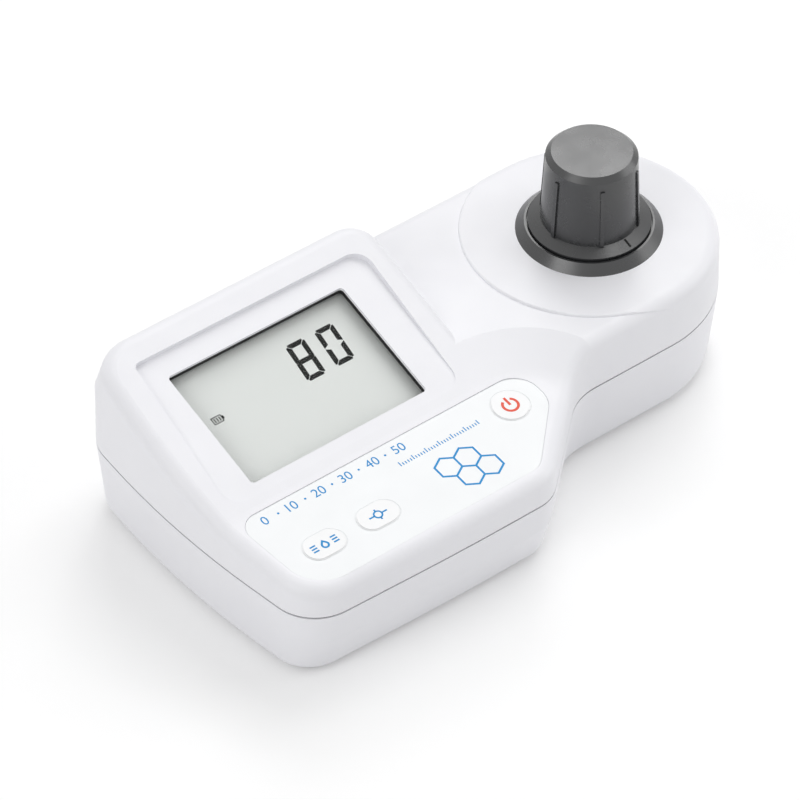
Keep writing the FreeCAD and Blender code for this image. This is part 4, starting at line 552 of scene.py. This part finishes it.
def build_graphics():
    """Printed figures on the overlay and on the keys."""
    for name, draw, ink, body, slot in (
        ("honeycomb_print", draw_hexagons, INK_BLUE, ROOT, "overlay"),
        ("scale_print", draw_scale, INK_BLUE, ROOT, "overlay"),
        ("tick_print", draw_ticks, INK_BLUE, ROOT, "overlay"),
        ("power_print", draw_power, INK_RED, "power_button", "keys"),
        ("measure_print", draw_measure, INK_BLUE, "read_button", "keys"),
        ("zero_print", draw_zero, INK_BLUE, "calibration_button", "keys"),
    ):
        mesh = bmesh.new()
        draw(mesh)
        make_piece(name, mesh, KEYPAD, ink, body)


# Cap

CAP_AXIS = Vector((58.8, 13.8, 0.0))
INDEX_ANGLE = math.radians(-86.5)
INDEX_INNER = (14.6, 49.60)
INDEX_OUTER = (17.2, 48.52)
INDEX_WIDTH = 0.55
INDEX_HEIGHT = 0.12


def build_cap_index():
    """The index line across the sloping rim of the cap."""
    mesh = bmesh.new()
    along = Vector((math.cos(INDEX_ANGLE), math.sin(INDEX_ANGLE), 0.0))
    across = Vector((-along.y, along.x, 0.0)) * INDEX_WIDTH / 2
    corners = []
    for radius, height in (INDEX_INNER, INDEX_OUTER):
        for side in (-1, 1):
            corners.append(CAP_AXIS + along * radius + across * side + Vector((0.0, 0.0, height)))
    order = (0, 1, 3, 2)
    lower = [mesh.verts.new(corners[index] - Vector((0.0, 0.0, INDEX_HEIGHT))) for index in order]
    upper = [mesh.verts.new(corners[index] + Vector((0.0, 0.0, INDEX_HEIGHT))) for index in order]
    mesh.faces.new(lower)
    mesh.faces.new(list(reversed(upper)))
    for index in range(4):
        after = (index + 1) % 4
        mesh.faces.new((lower[index], lower[after], upper[after], upper[index]))
    make_piece("cap_index", mesh, Matrix.Identity(4), SEGMENT, "cap")


# Display segments

DIGIT_LEFT = (-43.2, -33.1)
DIGIT_LOW = 29.6
DIGIT_HEIGHT = 13.0
DIGIT_WIDTH = 6.4
DIGIT_LEAN = 0.085
SEGMENT_WIDTH = 1.55
SEGMENT_GAP = 0.12
DIGIT_SEGMENTS = {"8": "abcdefg", "0": "abcdef"}
SEGMENT_FOOT = 0.01
SEGMENT_TOP = 0.04
INK_LOW = GLASS_FACE + SEGMENT_FOOT
INK_HIGH = GLASS_FACE + SEGMENT_TOP

BATTERY_LEFT = -74.3
BATTERY_LOW = 31.2
BATTERY_LENGTH = 3.3
BATTERY_HEIGHT = 2.4
BATTERY_LINE = 0.26
BATTERY_TIP = 0.5
BATTERY_TIP_WIDTH = 1.1
BATTERY_BARS = 3
BATTERY_BAR_WIDTH = 0.38
BATTERY_BAR_CLEAR = 0.5


def digit_segments():
    """Outlines of the seven segments of a digit, from its low left corner."""
    wide, tall, thick, gap = DIGIT_WIDTH, DIGIT_HEIGHT, SEGMENT_WIDTH, SEGMENT_GAP
    middle, half, slant = tall / 2, thick / 2, thick / 3
    return {
        "a": [
            (slant + gap, tall - slant),
            (slant + 2 * gap, tall),
            (wide - slant - 2 * gap, tall),
            (wide - slant - gap, tall - slant),
            (wide - thick - gap, tall - thick),
            (thick + gap, tall - thick),
        ],
        "d": [
            (slant + gap, slant),
            (thick + gap, thick),
            (wide - thick - gap, thick),
            (wide - slant - gap, slant),
            (wide - slant - 2 * gap, 0),
            (slant + 2 * gap, 0),
        ],
        "f": [
            (0, middle + gap),
            (0, tall - slant - 2 * gap),
            (slant, tall - slant - gap),
            (thick, tall - thick - gap),
            (thick, middle + half + gap),
        ],
        "b": [
            (wide, middle + gap),
            (wide - thick, middle + half + gap),
            (wide - thick, tall - thick - gap),
            (wide - slant, tall - slant - gap),
            (wide, tall - slant - 2 * gap),
        ],
        "e": [
            (0, slant + 2 * gap),
            (0, middle - gap),
            (thick, middle - half - gap),
            (thick, thick + gap),
            (slant, slant + gap),
        ],
        "c": [
            (wide, slant + 2 * gap),
            (wide - slant, slant + gap),
            (wide - thick, thick + gap),
            (wide - thick, middle - half - gap),
            (wide, middle - gap),
        ],
        "g": [
            (gap, middle),
            (half + gap, middle + half),
            (wide - half - gap, middle + half),
            (wide - gap, middle),
            (wide - half - gap, middle - half),
            (half + gap, middle - half),
        ],
    }


def draw_battery(mesh):
    """A small battery sign with three bars."""
    right = BATTERY_LEFT + BATTERY_LENGTH
    top = BATTERY_LOW + BATTERY_HEIGHT
    line = BATTERY_LINE
    outer = [(BATTERY_LEFT, BATTERY_LOW), (right, BATTERY_LOW), (right, top), (BATTERY_LEFT, top)]
    inner = [
        (BATTERY_LEFT + line, BATTERY_LOW + line), (right - line, BATTERY_LOW + line),
        (right - line, top - line), (BATTERY_LEFT + line, top - line),
    ]
    add_band(mesh, outer, inner, INK_LOW, INK_HIGH)
    middle = BATTERY_LOW + BATTERY_HEIGHT / 2
    add_stroke(mesh, (right, middle), (right + BATTERY_TIP, middle), BATTERY_TIP_WIDTH, INK_LOW, INK_HIGH)
    for index in range(BATTERY_BARS):
        x = BATTERY_LEFT + BATTERY_LENGTH * (index + 1) / (BATTERY_BARS + 1)
        start = (x, BATTERY_LOW + BATTERY_BAR_CLEAR)
        end = (x, top - BATTERY_BAR_CLEAR)
        add_stroke(mesh, start, end, BATTERY_BAR_WIDTH, INK_LOW, INK_HIGH)


def build_display():
    """The segments that the display shows."""
    for digit, left in zip("80", DIGIT_LEFT):
        mesh = bmesh.new()
        for segment in DIGIT_SEGMENTS[digit]:
            points = [(left + x + DIGIT_LEAN * y, DIGIT_LOW + y) for x, y in digit_segments()[segment]]
            add_prism(mesh, points, INK_LOW, INK_HIGH)
        make_piece(f"digit_{digit}", mesh, BEZEL, SEGMENT, ROOT)
    mesh = bmesh.new()
    draw_battery(mesh)
    make_piece("battery_sign", mesh, BEZEL, SEGMENT, ROOT)


# Studio

FLOOR_SIZE = 6.0
FLOOR_GRID = 8
FLOOR_SCALE = 2.0
FLOOR_LIFT = 0.14
ROOM_LIGHT = 0.55

LAMP_TARGET = Vector((0.0, 0.0, 0.02))
LAMPS = (
    ("key_lamp", (0.72, 0.30, 1.55), 0.9, 6.6),
    ("back_lamp", (0.80, 1.02, 1.25), 0.7, 4.8),
    ("left_lamp", (-1.25, -0.20, 0.85), 0.8, 4.6),
    ("right_lamp", (1.20, -0.60, 0.65), 0.8, 3.2),
)


def area_light(name, place, size, power):
    """A soft square lamp that looks at the object."""
    data = bpy.data.lights.new(name, "AREA")
    data.shape = "SQUARE"
    data.size = size
    data.energy = power
    lamp = bpy.data.objects.new(name, data)
    lamp.location = place
    lamp.rotation_euler = (LAMP_TARGET - Vector(place)).to_track_quat("-Z", "Y").to_euler()
    bpy.context.scene.collection.objects.link(lamp)


def lift_when_seen(tree, low, high, socket):
    """A strength that is higher for the camera, and in reflections and glass."""
    path = tree.nodes.new("ShaderNodeLightPath")
    seen = path.outputs["Is Camera Ray"]
    for ray in ("Is Glossy Ray", "Is Transmission Ray"):
        either = tree.nodes.new("ShaderNodeMath")
        either.operation = "MAXIMUM"
        tree.links.new(seen, either.inputs[0])
        tree.links.new(path.outputs[ray], either.inputs[1])
        seen = either.outputs["Value"]
    lift = tree.nodes.new("ShaderNodeMapRange")
    lift.inputs["To Min"].default_value = low
    lift.inputs["To Max"].default_value = high
    tree.links.new(seen, lift.inputs["Value"])
    tree.links.new(lift.outputs["Result"], socket)


def build_floor():
    """A wide pale floor."""
    material, shader = new_material("floor_paint")
    tone = spread(material, noise(material, FLOOR_SCALE), 0.0, 1.0)
    material.node_tree.links.new(
        blend_colours(material, tone, (0.90, 0.90, 0.90), (0.89, 0.89, 0.89)), shader.inputs["Base Color"])
    shader.inputs["Roughness"].default_value = 0.9
    shader.inputs["Specular IOR Level"].default_value = 0.0
    shader.inputs["Emission Color"].default_value = (1.0, 1.0, 1.0, 1.0)
    lift_when_seen(material.node_tree, 0.0, FLOOR_LIFT, shader.inputs["Emission Strength"])
    mesh = bmesh.new()
    bmesh.ops.create_grid(mesh, x_segments=FLOOR_GRID, y_segments=FLOOR_GRID, size=FLOOR_SIZE)
    data = bpy.data.meshes.new("floor")
    mesh.to_mesh(data)
    mesh.free()
    data.materials.append(material)
    floor = bpy.data.objects.new("floor", data)
    bpy.context.scene.collection.objects.link(floor)


def build_world():
    """An even pale room."""
    world = bpy.data.worlds.new("room")
    bpy.context.scene.world = world
    world.use_nodes = True
    back = world.node_tree.nodes["Background"]
    back.inputs["Color"].default_value = (1.0, 1.0, 1.0, 1.0)
    lift_when_seen(world.node_tree, ROOM_LIGHT, 1.0, back.inputs["Strength"])


def build_camera():
    """The camera at the photograph's angle and distance."""
    away = Vector((
        -math.sin(CAMERA_AZIMUTH) * math.cos(CAMERA_ELEVATION),
        -math.cos(CAMERA_AZIMUTH) * math.cos(CAMERA_ELEVATION),
        math.sin(CAMERA_ELEVATION),
    ))
    data = bpy.data.cameras.new("camera")
    data.sensor_width = CAMERA_SENSOR
    data.lens = CAMERA_LENS
    data.clip_start = CAMERA_NEAR
    data.clip_end = CAMERA_FAR
    camera = bpy.data.objects.new("camera", data)
    camera.location = CAMERA_TARGET + away * CAMERA_DISTANCE
    camera.rotation_euler = (-away).to_track_quat("-Z", "Y").to_euler()
    bpy.context.scene.collection.objects.link(camera)
    bpy.context.scene.camera = camera


def build_studio():
    """Floor, room, lamps and view settings."""
    build_floor()
    build_world()
    for lamp in LAMPS:
        area_light(*lamp)
    bpy.context.scene.view_settings.view_transform = "Standard"


build_camera()
dress_nodes()
build_graphics()
build_key_films()
build_cap_index()
build_display()
build_studio()
